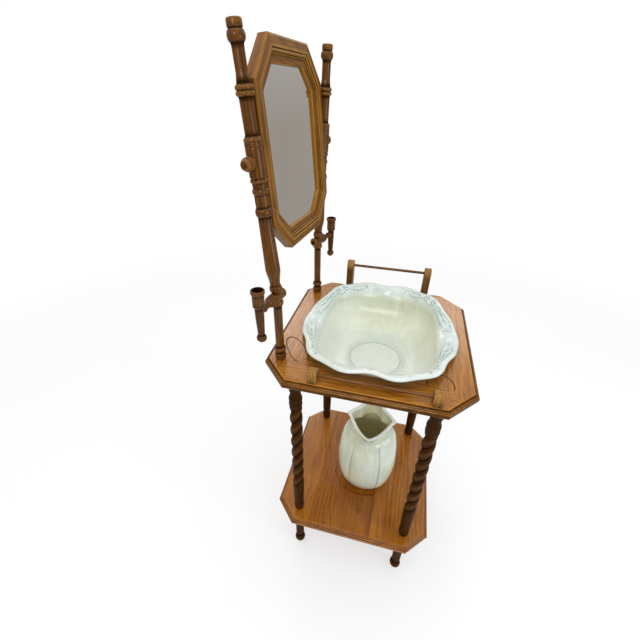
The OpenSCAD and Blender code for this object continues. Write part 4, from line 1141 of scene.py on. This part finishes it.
# %% [markdown]
# ## The basin
# The basin is cast in a mould: a rounded rectangular bowl on a round foot, with a flared rim whose
# outline swells and dips. It could be sculpted, but the mould's own geometry is simple to say: each
# height of the bowl is a rounded rectangle whose squareness grows from round at the foot to nearly
# square at the top of the wall. The rim adds a wave to its outline and another to its height.

# %% Basin shape
rim_x, rim_y, rim_up, rim_square = 180.0, 163.0, 20.5, 2.35
rim_lobe, rim_ripple, rim_saddle, rim_corner = 4.4, 1.9, 8.0, 3.5
basin_deep, basin_wall, basin_foot, basin_sides = 77.0, 5.0, 58.0, 640
flare_in, rim_roll, fold_deep = 9, 5, 0.55
RIM_PALE, UNDER_RIM_SHADE, FLOOR_PAINTED_LIGHT, BACK_PAINTED_LIGHT, FRONT_PAINTED_LIGHT = 0.5, 0.55, 0.65, 0.95, 0.60
FLOOR_WARM, INSIDE_FADE_ROWS = 0.25, 14
FOOT_OUT = (3, 0.6, 0, -1, -4, -5.5, -8, -20, -50)
FOOT_DOWN = (0.8, 2, 4, 5, 5, 4, 0.8, 0.6, 0.6)
CORNERS = np.radians([40, 140, 220, 320])


def rim_wave(a):
    """How far the rim stands out at angle a: -lobe cos 6a - ripple (cos 12a + cos 14a)."""
    return -rim_lobe * np.cos(6 * a) - rim_ripple * (np.cos(12 * a) + np.cos(14 * a))


def rim_height(a):
    """How high the rim stands at angle a: saddle cos 2a - corner cos 4a + 1.5 cos 6a."""
    return rim_saddle * np.cos(2 * a) - rim_corner * np.cos(4 * a) + 1.5 * np.cos(6 * a)


def bowl_ring(a, hx, hy, n, z, wave=0.0):
    """One height of the basin: rounded rectangle of half sizes hx and hy, plus the rim's waves."""
    r = superellipse(a, hx, hy, n) + wave * rim_wave(a)
    return np.stack([r * np.cos(a), r * np.sin(a), z + wave * rim_height(a) + 0 * r], -1)


def bowl_wall(a, u, g):
    """The bowl at angle u of its quarter-ellipse profile, grown outward by g."""
    u = np.radians(u)
    c = basin_foot + 4
    side = seat_x - basin_wall + g - c
    end = seat_y - basin_wall + g - c
    z = -basin_deep - g + (basin_deep - 4 + g) * (1 - np.cos(u))
    squareness = 2 + (bowl_square - 2) * np.sin(u)
    return bowl_ring(a, c + side * np.sin(u), c + end * np.sin(u), squareness, z)


def bowl_flare(a, t, g):
    """The flare from the bowl (t = 0) to the rim's edge (t = 1)."""
    lower = 0 if g > 0 else -4
    f = t ** 1.5
    z = lower + (rim_up - g - lower) * np.sin(np.pi / 2 * t)
    hx = seat_x - basin_wall + g + (rim_x - flare_in - seat_x + basin_wall) * f
    hy = seat_y - basin_wall + g + (rim_y - flare_in - seat_y + basin_wall) * f
    return bowl_ring(a, hx, hy, bowl_square - (bowl_square - rim_square) * t, z, t)


def basin_angles():
    """Angles round the basin, closer together at the corners where the carving is finest."""
    even = np.linspace(0, 2 * np.pi, 2881)
    crowd = 1 + sum(0.9 * np.exp(-((even - c) / 0.38) ** 2) for c in CORNERS)
    run = np.r_[0, np.cumsum((crowd[1:] + crowd[:-1]) / 2)]
    return np.interp(np.linspace(0, run[-1], basin_sides, endpoint=False), run, even)[None]


def basin_rings(a):
    """All rings of the basin, from the middle of its floor over the rim to the middle below."""
    near_wall = basin_foot - np.array([3, 2.2, 1.4, 0.6, -0.4])
    r = column(np.linspace(4, basin_foot - 4, 13), near_wall)
    lift = 1.1 * np.exp(-((r - basin_foot + 2.0) / 1.1) ** 2)
    t = np.radians(column(np.linspace(0, 180, 13)))
    out = basin_foot + column(*FOOT_OUT)
    return stacked(
        floor=bowl_ring(a, r, r, 2.0, -basin_deep - 0.4 + lift),
        wall=bowl_wall(a, column(np.linspace(9, 86, 28)), 0),
        flare=bowl_flare(a, column(np.linspace(0.06, 0.30, 7), np.linspace(0.33, 1, 50)), 0),
        edge=bowl_ring(a, rim_x - rim_roll + rim_roll * np.sin(t),
                       rim_y - rim_roll + rim_roll * np.sin(t), rim_square,
                       rim_up - 3.0 + 3.0 * np.cos(t), 1.0),
        below=bowl_flare(a, column(np.linspace(0.8, 0, 9)), basin_wall),
        outer=bowl_wall(a, column(np.linspace(78, 26, 13)), basin_wall),
        foot=bowl_ring(a, out, out, 2.0, -basin_deep - basin_wall - column(*FOOT_DOWN)))


print("basin outline", 2 * rim_x, "by", 2 * rim_y, "mm before its waves")

# %% [markdown]
# ## The carving on the rim
# Scrolls and leaves are lines drawn on a flat strip, where u runs along the rim in millimetres from
# a corner or from the middle of a side, and v goes from 0 at the bowl to 1 at the edge. Displacing
# the surface with a picture of them would need a picture; instead each point looks up its distance
# to the nearest line. The surface sinks along a line and swells beside it, and the glaze gathers in
# the line itself.

# %% Carving
BAND = 27.0  # width of the carved strip, as far as a scroll's shape goes
LINE_HALF, SWELL_AT, SWELL_HALF, LINE_REACH = 1.4, 3.2, 1.8, 9
LINE_DOWN, SWELL_UP, BORDER_UP = 1.3, 1.9, 0.6
CORNER_SCROLLS = [  # middle (u, v), size, hand, turns, start, strength
    (14, 0.52, 9.5, 1, 1.15, 90, 1.0), (120, 0.40, 6.5, -1, 1.0, 180, 0.9),
    (-15, 0.54, 8.5, -1, 1.15, 90, 1.0), (-71, 0.50, 6.0, 1, 1.0, 0, 0.85)]
CORNER_LEAVES = [  # from (u, v), to (u, v), bow, sway, strength
    (14, 0.87, 70, 0.92, 0.03, 0.0, 0.8), (2, 0.12, 112, 0.30, 0.02, 0.14, 1.0),
    (30, 0.18, 96, 0.60, 0.16, 0.12, 0.9), (26, 0.42, 84, 0.80, 0.16, 0.06, 0.85),
    (70, 0.36, 128, 0.62, 0.22, -0.10, 0.8), (84, 0.80, 116, 0.66, 0.08, 0.0, 0.7),
    (-15, 0.87, -56, 0.84, 0.03, 0.0, 0.8), (-3, 0.14, -64, 0.40, 0.06, 0.14, 0.9),
    (-26, 0.40, -60, 0.62, 0.12, 0.04, 0.7)]


def scroll(u, v, size, hand, turns, start):
    """A spiral round (u, v) that closes on its eye: its radius is size * (1 - 0.8 t)."""
    t = np.linspace(0, 1, 46)
    angle = math.radians(start) + hand * 2 * np.pi * turns * t
    r = size * (1 - 0.8 * t)
    return np.stack([u + r * np.cos(angle), v + r * np.sin(angle) / BAND], 1)


def stroke(u0, v0, u1, v1, bow, sway):
    """A line between two points that bows to one side and sways in an S, as a leaf's edge does."""
    t = np.linspace(0, 1, 36)
    rise = bow * np.sin(np.pi * t) + sway * np.sin(2 * np.pi * t)
    return np.stack([u0 + (u1 - u0) * t, v0 + (v1 - v0) * t + rise], 1)


def corner_lines():
    """The carving at a corner: leaves run out from a scroll on either side and end in a curl."""
    return ([(scroll(*shape), strength) for *shape, strength in CORNER_SCROLLS]
            + [(stroke(*shape), strength) for *shape, strength in CORNER_LEAVES])


def middle_lines():
    """The small palmette at the middle of a side: three arches, one inside the other."""
    arches = []
    for k in range(3):
        reach, base = 20 - 6.5 * k, 0.34 + 0.05 * k
        arches.append((stroke(-reach, base, reach, base, 0.48 - 0.14 * k, 0.0), 0.75))
    return arches


def carve(u, v, width, lines):
    """Depth and swell of the carving at places (u, v), from the distance to the nearest line."""
    line = np.zeros_like(u)
    swell = np.zeros_like(u)
    for path, strength in lines:
        low_u, high_u = path[:, 0].min() - LINE_REACH, path[:, 0].max() + LINE_REACH
        near = ((u > low_u) & (u < high_u)).any(0)
        if not near.any():
            continue
        du = u[:, near, None] - path[:, 0]
        dv = (v[:, near, None] - path[:, 1]) * width[:, near, None]
        gap = np.sqrt((du * du + dv * dv).min(-1))
        cut = strength * np.exp(-(gap / LINE_HALF) ** 2)
        raised = strength * np.exp(-((gap - SWELL_AT) / SWELL_HALF) ** 2)
        line[:, near] = np.maximum(line[:, near], cut)
        swell[:, near] = np.maximum(swell[:, near], raised)
    return line, swell


def carve_rim(rings, rows, a):
    """Carves the strip between the bowl and the edge; gives its rows and how dark they get."""
    strip = slice(rows["flare"].start + 7, rows["edge"].start + 2)
    zone = rings[strip]
    steps = np.linalg.norm(np.diff(zone, axis=0), axis=-1)
    run = np.concatenate([np.zeros((1, zone.shape[1])), np.cumsum(steps, 0)])
    width = np.broadcast_to(run[-1], run.shape)
    v = run / width
    edge = rings[rows["edge"].start, :, :2]
    along = np.r_[0, np.cumsum(np.hypot(*np.diff(edge, axis=0, append=edge[:1]).T))]
    total = along[-1]
    line, swell = np.zeros_like(v), np.zeros_like(v)
    mirrored = np.array([1, -1, 1, -1])[:, None]
    for places, hands, lines in ((CORNERS, mirrored, corner_lines()),
                                 (np.arange(4) * np.pi / 2, 1, middle_lines())):
        spots = np.interp(places, np.r_[a[0], 2 * np.pi], along)
        gaps = (along[None, :-1] - spots[:, None] + total / 2) % total - total / 2
        u = np.take_along_axis(gaps * hands, np.abs(gaps).argmin(0)[None], 0)
        cut, raised = carve(np.broadcast_to(u, v.shape).copy(), v, width, lines)
        line, swell = np.maximum(line, cut), np.maximum(swell, raised)
    fade = np.clip(v / 0.06, 0, 1) * np.clip((1 - v) / 0.05, 0, 1)
    border = np.exp(-((v - 0.96) / 0.03) ** 2)
    rings[strip, :, 2] += (SWELL_UP * swell - LINE_DOWN * line) * fade + BORDER_UP * border
    return strip, np.clip(0.88 * line - 0.45 * swell, -0.6, 1) * fade


def make_basin():
    """The basin with its carving, as one closed surface. The wall has soft folds from its mould.

    Its floor and its two long sides are painted paler as painted light, and the underside of the
    rim is painted darker as painted shade. A dark line shows where the wall begins: glaze gathered
    there, with painted shade that is stronger on the far side. The warm inside tone is laid on most
    heavily on the far wall and the -Y wall as painted shade."""
    a = basin_angles()
    rings, rows = basin_rings(a)
    hollow = np.zeros(rings.shape[:2])
    inside = np.zeros(rings.shape[:2])
    strip, dark = carve_rim(rings, rows, a)
    hollow[strip] = dark
    edge, flare, below = (rows[part].start for part in ("edge", "flare", "below"))
    hollow[edge:edge + 4] = -RIM_PALE
    # Painted shade under the rim: the underside of the edge roll and of the flare are darkened.
    hollow[edge + 7:below + 5] = UNDER_RIM_SHADE
    floor, wall = rows["floor"], rows["wall"]
    t = np.linspace(0, 1, wall.stop - wall.start)[:, None]
    folds = np.sin(5 * a + 1.3) + 0.7 * np.sin(11 * a) * t + 0.5 * np.sin(17 * a + 2) * t
    away = rings[wall, :, :2] / np.linalg.norm(rings[wall, :, :2], axis=-1, keepdims=True)
    rings[wall, :, :2] -= away * (fold_deep * folds * np.sin(np.pi * t))[..., None]
    # Painted light: the two long sides of the wall, and further down the floor, are painted paler.
    lit = BACK_PAINTED_LIGHT * np.maximum(np.sin(a), 0) + FRONT_PAINTED_LIGHT * np.maximum(-np.sin(a), 0)
    hollow[wall] = 0.10 * folds * np.sin(np.pi * t) - lit
    r = np.hypot(rings[floor, :, 0], rings[floor, :, 1])
    # The foot line: glaze gathered where floor meets wall, with painted shade that is stronger on the
    # far side.
    foot_line_and_shade = (1.2 + 0.25 * np.cos(a)) * np.exp(-((r - basin_foot + 0.4) / 1.2) ** 2)
    hollow[floor] = foot_line_and_shade - FLOOR_PAINTED_LIGHT
    # The warm inside tone is painted shade as well: strongest on the far wall and the -Y wall,
    # weakest on the +Y wall, and it fades out over the lower flare.
    inside_tone_and_shade = np.clip(0.58 + 0.40 * np.cos(a) - 0.22 * np.sin(a), 0.28, 1)
    inside[floor] = FLOOR_WARM
    inside[wall] = FLOOR_WARM + (inside_tone_and_shade - FLOOR_WARM) * np.clip(2.5 * t, 0, 1)
    inside[flare:flare + INSIDE_FADE_ROWS] = inside_tone_and_shade * np.linspace(1, 0, INSIDE_FADE_ROWS)[:, None]
    points = rings + (0, -basin_ahead, board_top)
    return glazed("basin_glazed", points, pot_skin(rings), hollow, inside, basin_glaze, "basin",
                  "basin")


make_basin()

# %% [markdown]
# ## The pitcher
# A full egg-shaped jug with six broad panels. Its neck is wider to the front, back and sides than
# between them, and the mouth opens into four points with a rolled edge; the back stands highest.
# The body is its profile carried round the axis, with a groove pressed in between the panels. The
# handle is an oval carried along a curve.

# %% Pitcher shape
pitcher_h, belly_r, pitcher_foot, neck_r, neck_wide = 217.0, 79.0, 46.0, 42.0, 54.0
pitcher_wall, rim_point, mouth_square, pitcher_foot_h = 4.5, 57.0, 1.17, 7.0
point_lift, back_lift, spout_lift, panels, panel_deep = 20.0, 30.0, 6, 6, 2.6
handle_out, handle_low, handle_thick, handle_wide = 122.0, 84.0, 5, 7.5
neck_up = pitcher_h - 17
pitcher_sides = 300
pitcher_spot = (-18.0, -18.0, shelf_top + 0.1)
ring_up, ring_half, ring_out, shade_up, shade_half = 17, 1.8, 0.012, 21.5, 1.6
SEAM_DARK, SEAM_PALE, RING_DARK, RING_PALE, UNDER_MOUTH_SHADE, FOOT_DARK = 0.46, 0.45, 0.6, 0.9, 0.75, 0.7
LIP_UP = (0.965, 0.99, 1.015, 1.035, 1.04, 1.03, 1.0, 0.96, 0.925, 0.895, 0.865)
LIP_OUT = (-4.2, -3.6, -2.2, -0.4, 1.4, 2.8, 3.8, 3.7, 2.7, 1.4, 0.4)
PITCHER_FOOT = [[0.4, 7.0], [-0.6, 6.5], [-0.2, 5.4], [0, 4], [-0.2, 1], [-1, 0], [-5, 0],
                [-6, 0.6], [-7, 3], [-38, 3]]


def neck_at(a):
    """Radius of the neck: from neck_r up to neck_wide with |cos 2a| to the power 1.5."""
    return neck_r + (neck_wide - neck_r) * np.abs(np.cos(2 * a)) ** 1.5


def up_body(z):
    """How far up the body a height is, from 0 at the foot to 1 at the neck."""
    return np.clip((z - pitcher_foot_h) / (neck_up - pitcher_foot_h), 0, 1)


def body_r(z, a):
    """Radius of the body: a straight line from foot to neck plus the root of a skewed half sine."""
    t = up_body(z)
    foot, neck = pitcher_foot - 2, neck_at(a)
    swell = np.sqrt(np.maximum(np.sin(np.pi * t ** 0.8), 0))
    return foot + (neck - foot) * t + (belly_r - (foot + neck) / 2) * swell


def body_ring(a, z, g):
    """A ring of the body grown by g, with a groove between the panels that fades at both ends."""
    groove = (1 - np.abs(np.cos(panels / 2 * a))) ** 2 * np.sin(np.pi * up_body(z))
    r = body_r(z, a) + g - np.where(g < 0, 0.3, 1.0) * panel_deep * groove
    return np.stack([r * np.cos(a), r * np.sin(a), z + 0 * a], -1), groove


def mouth_ring(a, t, g):
    """A ring of the mouth, from the neck (t = 0) to the four-pointed rim (t = 1): its outline is
    |cos|^n + |sin|^n to the power -1/n, with n a little over 1."""
    square = superellipse(a, rim_point, rim_point, mouth_square)
    spout = np.maximum(-np.cos(a), 0) ** 8
    lift = (point_lift * np.abs(np.sin(a)) ** 6 + back_lift * np.maximum(np.cos(a), 0) ** 1.5
            + spout_lift * spout)
    r = neck_at(a) + (square + 5 * spout - neck_at(a)) * t ** 1.7 + g
    return np.stack([r * np.cos(a), r * np.sin(a), neck_up + (pitcher_h - neck_up + lift) * t], -1)


def pitcher_rings(a):
    """Rings from the floor inside, up and over the mouth, and down the outside to the foot.

    The lip's two side points curl over a little. The groove's depth on the body comes along."""
    floor_z = pitcher_foot_h + pitcher_wall
    flat = np.stack([np.linspace(4, pitcher_foot - 10, 5), np.full(5, floor_z)], 1)
    inner_z = column(floor_z, floor_z + 1.5, np.linspace(16, neck_up - 1, 36))
    grown = column(-pitcher_wall - 2, -pitcher_wall - 0.6, np.full(36, -pitcher_wall))
    lip = mouth_ring(a, column(*LIP_UP), column(*LIP_OUT))
    across = np.sin(np.linspace(0, np.pi, len(lip)))[:, None]
    curl = np.exp(-((np.abs(np.sin(a)) - 1) / 0.012) ** 2) * across
    lip[..., 1] += np.sign(np.sin(a)) * 2.4 * curl
    lip[..., 2] -= 1.2 * curl
    outer_z = column(np.linspace(neck_up - 1, 40, 66), np.linspace(37, 7.3, 20))
    body, groove = body_ring(a, outer_z, 0.0)
    points, rows = stacked(
        floor=turn_on_axis(flat, pitcher_sides), inside=body_ring(a, inner_z, grown)[0],
        throat=mouth_ring(a, column(np.linspace(0, 0.93, 20)), -pitcher_wall), lip=lip,
        outside=mouth_ring(a, column(np.linspace(0.83, 0, 26)), 0.0), body=body,
        foot=turn_on_axis(np.array(PITCHER_FOOT) + (pitcher_foot, 0), pitcher_sides))
    return points, rows, groove


def make_pitcher():
    """The pitcher, with a raised ring above its foot. The glaze gathers in grooves and thins out on
    the lip, and a painted shade darkens the body below the mouth."""
    a = np.linspace(0, 2 * np.pi, pitcher_sides, endpoint=False)[None]
    points, rows, groove = pitcher_rings(a)
    hollow = np.zeros(points.shape[:2])
    body, throat = rows["body"], rows["throat"]
    deepest = groove.max(1, keepdims=True)
    shares = groove / np.maximum(deepest, 0.02)
    seam = np.clip((shares - 0.72) / 0.28, 0, 1)
    crest = np.exp(-((shares - 0.48) / 0.10) ** 2)
    hollow[body] = (SEAM_DARK * seam - SEAM_PALE * crest) * np.clip(4 * deepest, 0, 1)
    low_ring = np.exp(-((points[body, :, 2] - ring_up) / ring_half) ** 2)
    points[body, :, :2] *= 1 + ring_out * low_ring[..., None]
    above = np.exp(-((points[body, :, 2] - shade_up) / shade_half) ** 2)
    hollow[body] += RING_DARK * above - RING_PALE * low_ring
    hollow[rows["lip"]] = -1.0
    skirt = slice(rows["outside"].start, body.stop)
    down = np.arange(skirt.stop - skirt.start)
    # Painted shade below the mouth: a dark band round the body under the lip's overhang.
    shade = np.exp(-((down - 12) / 11.0) ** 2)[:, None] * (0.5 + 0.2 * np.cos(4 * a))
    hollow[skirt] = np.maximum(hollow[skirt], UNDER_MOUTH_SHADE * shade)
    hollow[body.stop:body.stop + 2] = FOOT_DARK
    hollow[body.stop + 2:body.stop + 5] = -FOOT_DARK
    # The inside is painted near white as painted light, strongest deep in the jug and fading up the
    # throat, so that its shaded inside still reads pale.
    deep = np.zeros((len(points), 1))
    deep[:throat.start] = 1.0
    deep[throat, 0] = np.linspace(1, 0.0, throat.stop - throat.start) ** 0.8
    return glazed("pitcher_glazed", points + pitcher_spot, pot_skin(points), hollow, deep,
                  pitcher_glaze, "pitcher", "pitcher")


def make_handle(steps=60, sides=28):
    """An oval of 10 by 15 mm carried along a curve on four points, from the neck to the belly."""
    v = np.linspace(0, 1, steps)[:, None]
    ends = np.array([[neck_wide - 1.5, neck_up + 2], [handle_out - 8, neck_up + 30],
                     [handle_out, handle_low + 22], [body_r(handle_low, 0.0) - 2.5, handle_low]])
    path = ((1 - v) ** 3 * ends[0] + 3 * v * (1 - v) ** 2 * ends[1]
            + 3 * v * v * (1 - v) * ends[2] + v ** 3 * ends[3])
    way = np.gradient(path, axis=0)
    out = np.stack([way[:, 1], -way[:, 0]], 1) / np.hypot(*way.T)[:, None]
    a = np.linspace(0, 2 * np.pi, sides, endpoint=False)
    thick = handle_thick * (1 - 0.12 * np.sin(np.pi * v))
    x = path[:, :1] + out[:, :1] * thick * np.cos(a)
    z = path[:, 1:] + out[:, 1:] * thick * np.cos(a)
    y = np.broadcast_to(-handle_wide * np.sin(a), x.shape)
    points = np.stack([x, y, z], -1)
    return glazed("pitcher_handle_glazed", points + pitcher_spot, pot_skin(points),
                  np.full(x.shape, -0.25), np.zeros((steps, 1)), pitcher_glaze, "pitcher",
                  slot="glaze")


make_pitcher()
make_handle()

# %% [markdown]
# ## Finishes for the imported pieces that stay
# The glass, its backing and the small metal parts have the right shape already. They only need a
# finish. The silvering is a metal with a slight grey cast and faint clouding.

# %% Mirror, steel, dowel and backing
def make_silvering():
    """Clean metal, a little darker than silver, with faint clouding."""
    material, s, bsdf = new_material("silvered glass")
    haze = s.noise(s.spot(), 3.0)
    s.fill(bsdf, {
        "Base Color": s.blend(s.span(haze, 0.35, 0.7), rgb(236, 233, 228), rgb(222, 220, 215)),
        "Roughness": s.span(haze, 0.3, 0.7, 0.01, 0.05), "Metallic": 1.0})
    return material


def make_metal(name, tone, dark, rough):
    """Dull metal: fine scratches and darker patches."""
    material, s, bsdf = new_material(name)
    spot = s.spot()
    patch = s.noise(spot, 160.0, 4.0, 0.6)
    fine = s.noise(spot, (900, 120, 900), 2.0)
    s.fill(bsdf, {
        "Base Color": s.blend(s.span(patch, 0.4, 0.7), tone, dark),
        "Roughness": s.span(fine, 0.3, 0.7, rough - 0.1, rough + 0.1),
        "Normal": s.bump(fine, 0.0001, 0.4), "Metallic": 1.0})
    return material


def make_raw_wood(name, pale, dark, scale):
    """Bare wood or board with fibres that are long where the scale is small."""
    material, s, bsdf = new_material(name)
    spot = s.spot()
    fibres = s.noise(spot, scale, 4.0, 0.6)
    specks = s.noise(spot, 420.0, 3.0, 0.6)
    base = s.blend(s.span(fibres, 0.3, 0.7), pale, dark)
    base = s.blend(s.span(specks, 0.5, 0.7, 0.0, 0.5), base, dark, "MULTIPLY")
    s.fill(bsdf, {"Base Color": base, "Normal": s.bump(fibres, 0.0002, 0.5), "Roughness": 0.75})
    return material


FINISHES = [
    (make_silvering(), ["mirror_glass"]),
    (make_raw_wood("hardboard", rgb(150, 108, 68), rgb(112, 76, 44), (60, 60, 60)),
     ["mirror_backing"]),
    (make_metal("dark washer", rgb(70, 62, 54), rgb(40, 34, 30), 0.5),
     ["left_washer", "right_washer"]),
    (make_metal("zinc plated steel", rgb(178, 180, 182), rgb(120, 122, 122), 0.35),
     ["backing_clips", "clip_screws", "post_screws", "bracket_screws", "left_stud", "right_stud"]),
    (make_raw_wood("bare dowel", rgb(206, 170, 120), rgb(170, 130, 84), (300, 300, 12)),
     ["leg_dowels", "left_post_pin", "right_post_pin"])]
for material, names in FINISHES:
    for name in names:
        mesh = frame["nodes"][name].data
        mesh.materials.clear()
        mesh.materials.append(material)
    print(material.name, "on", ", ".join(names))

# %% [markdown]
# ## Floor, light and camera
# A pale floor and broad soft lamps, as in a small studio. The camera stands where the photograph
# was taken, close by and a little above the basin, with the same field of view.

# %% Floor
SIGHT_WHITE = (1.0, 1.0, 1.0, 1)
HORIZON = (0.375, 0.355, 0.325, 1)
FLOOR_REACH = 30.0
FLOOR_SIGNS = ((-1, -1), (1, -1), (1, 1), (-1, 1))
corner_spots = [(x * FLOOR_REACH, y * FLOOR_REACH, 0) for x, y in FLOOR_SIGNS]
floor_mesh = bpy.data.meshes.new("floor")
floor_mesh.from_pydata(corner_spots, [], [(0, 1, 2, 3)])
floor = bpy.data.objects.new("floor", floor_mesh)
bpy.context.scene.collection.objects.link(floor)


def make_floor():
    """Pale paint close by, which further off turns into the tone of the background, so that no
    horizon shows."""
    material, s, bsdf = new_material("pale floor")
    spot = s.spot()
    mottle = s.noise(spot, 3.0)
    s.fill(bsdf, {"Base Color": s.blend(mottle, rgb(247, 247, 246), rgb(242, 242, 241)),
                  "Roughness": 0.9})
    far = s.add("ShaderNodeVectorMath", {0: spot}, "Value", operation="LENGTH")
    sight = s.add("ShaderNodeLightPath", output="Is Camera Ray")
    glow = s.add("ShaderNodeEmission", {"Color": s.blend(sight, HORIZON, SIGHT_WHITE)})
    share = s.math("MAXIMUM", sight * 0.55, s.span(far, 0.7, 2.4))
    mix = s.add("ShaderNodeMixShader", {0: share, 1: Value(s, bsdf.outputs[0]), 2: glow})
    s.fill(material.node_tree.nodes["Material Output"], {"Surface": mix})
    return material


floor_mesh.materials.append(make_floor())
print("floor reaches", FLOOR_REACH, "m each way")

# %% Light
SKY = (0.78, 0.79, 0.80, 1)
world = bpy.data.worlds.new("studio")
bpy.context.scene.world = world
world.use_nodes = True
w = Shader(world.node_tree)
sight = w.add("ShaderNodeLightPath", output="Is Camera Ray")
up = w.parts(w.add("ShaderNodeTexCoord", output="Generated"))[2]
sky = w.blend(w.span(up, 0.0, 0.55), HORIZON, SKY)
w.fill(world.node_tree.nodes["Background"],
       {"Color": w.blend(sight, sky, SIGHT_WHITE), "Strength": 1.0})


def lamp(name, spot, aim, size, power, tone=(1, 1, 1)):
    """A soft rectangular lamp that faces a point; sizes in metres, power in watts."""
    light = bpy.data.lights.new(name, "AREA")
    light.shape = "RECTANGLE"
    light.size, light.size_y = size
    light.energy = power
    light.color = tone
    holder = bpy.data.objects.new(name, light)
    holder.location = spot
    holder.rotation_euler = (Vector(aim) - Vector(spot)).to_track_quat("-Z", "Y").to_euler()
    bpy.context.scene.collection.objects.link(holder)


WARM, COOL = (1.0, 0.93, 0.90), (0.68, 0.84, 1.0)
lamp("ceiling", (-0.2, 0.2, 3.0), (0, 0, 0.6), (2.2, 2.2), 22)
lamp("front_left_pane", (-2.9, 0.20, 1.85), (0, 0, 0.5), (0.35, 0.5), 11)
lamp("front_right_pane", (-2.9, -0.40, 1.85), (0, 0, 0.5), (0.35, 0.5), 11)
lamp("side_cool", (-0.7, -1.9, 0.75), (0, 0, 0.35), (0.6, 1.0), 12, COOL)
lamp("back_left_pane", (2.2, 1.15, 2.25), (0, 0.1, 0.6), (0.9, 0.7), 8, WARM)
lamp("back_right_pane", (2.5, -0.75, 2.1), (0, 0, 0.6), (0.7, 0.6), 4, WARM)
print(len(bpy.data.lights), "lamps")

# %% Camera
FOCAL_PX, PICTURE_PX, SENSOR_MM = 346.73, 640, 36.0
YAW, PITCH, ROLL = 0.2390, -0.5801, 0.0158
eye = Vector((-0.6398, -0.0290, board_top * MM + 0.4370))
camera_data = bpy.data.cameras.new("camera")
camera = bpy.data.objects.new("camera", camera_data)
bpy.context.scene.collection.objects.link(camera)
camera_data.sensor_width = SENSOR_MM
camera_data.lens = FOCAL_PX / PICTURE_PX * SENSOR_MM
ahead = Vector((math.cos(PITCH) * math.cos(YAW), math.cos(PITCH) * math.sin(YAW), math.sin(PITCH)))
level = ahead.cross(Vector((0, 0, 1))).normalized()
upright = level.cross(ahead)
right = math.cos(ROLL) * level + math.sin(ROLL) * upright
up_way = math.cos(ROLL) * upright - math.sin(ROLL) * level
axes = Matrix((right, up_way, -ahead)).transposed().to_4x4()
camera.matrix_world = Matrix.Translation(eye) @ axes
bpy.context.scene.camera = camera
bpy.context.scene.view_settings.view_transform = "Standard"
print("camera at", [round(value, 3) for value in eye])

# %% [markdown]
# ## Last count
# The new pieces and their faces are counted.

# %% Count of new pieces
print(len(PIECES), "new pieces,", sum(len(p.data.polygons) for p in PIECES), "faces")
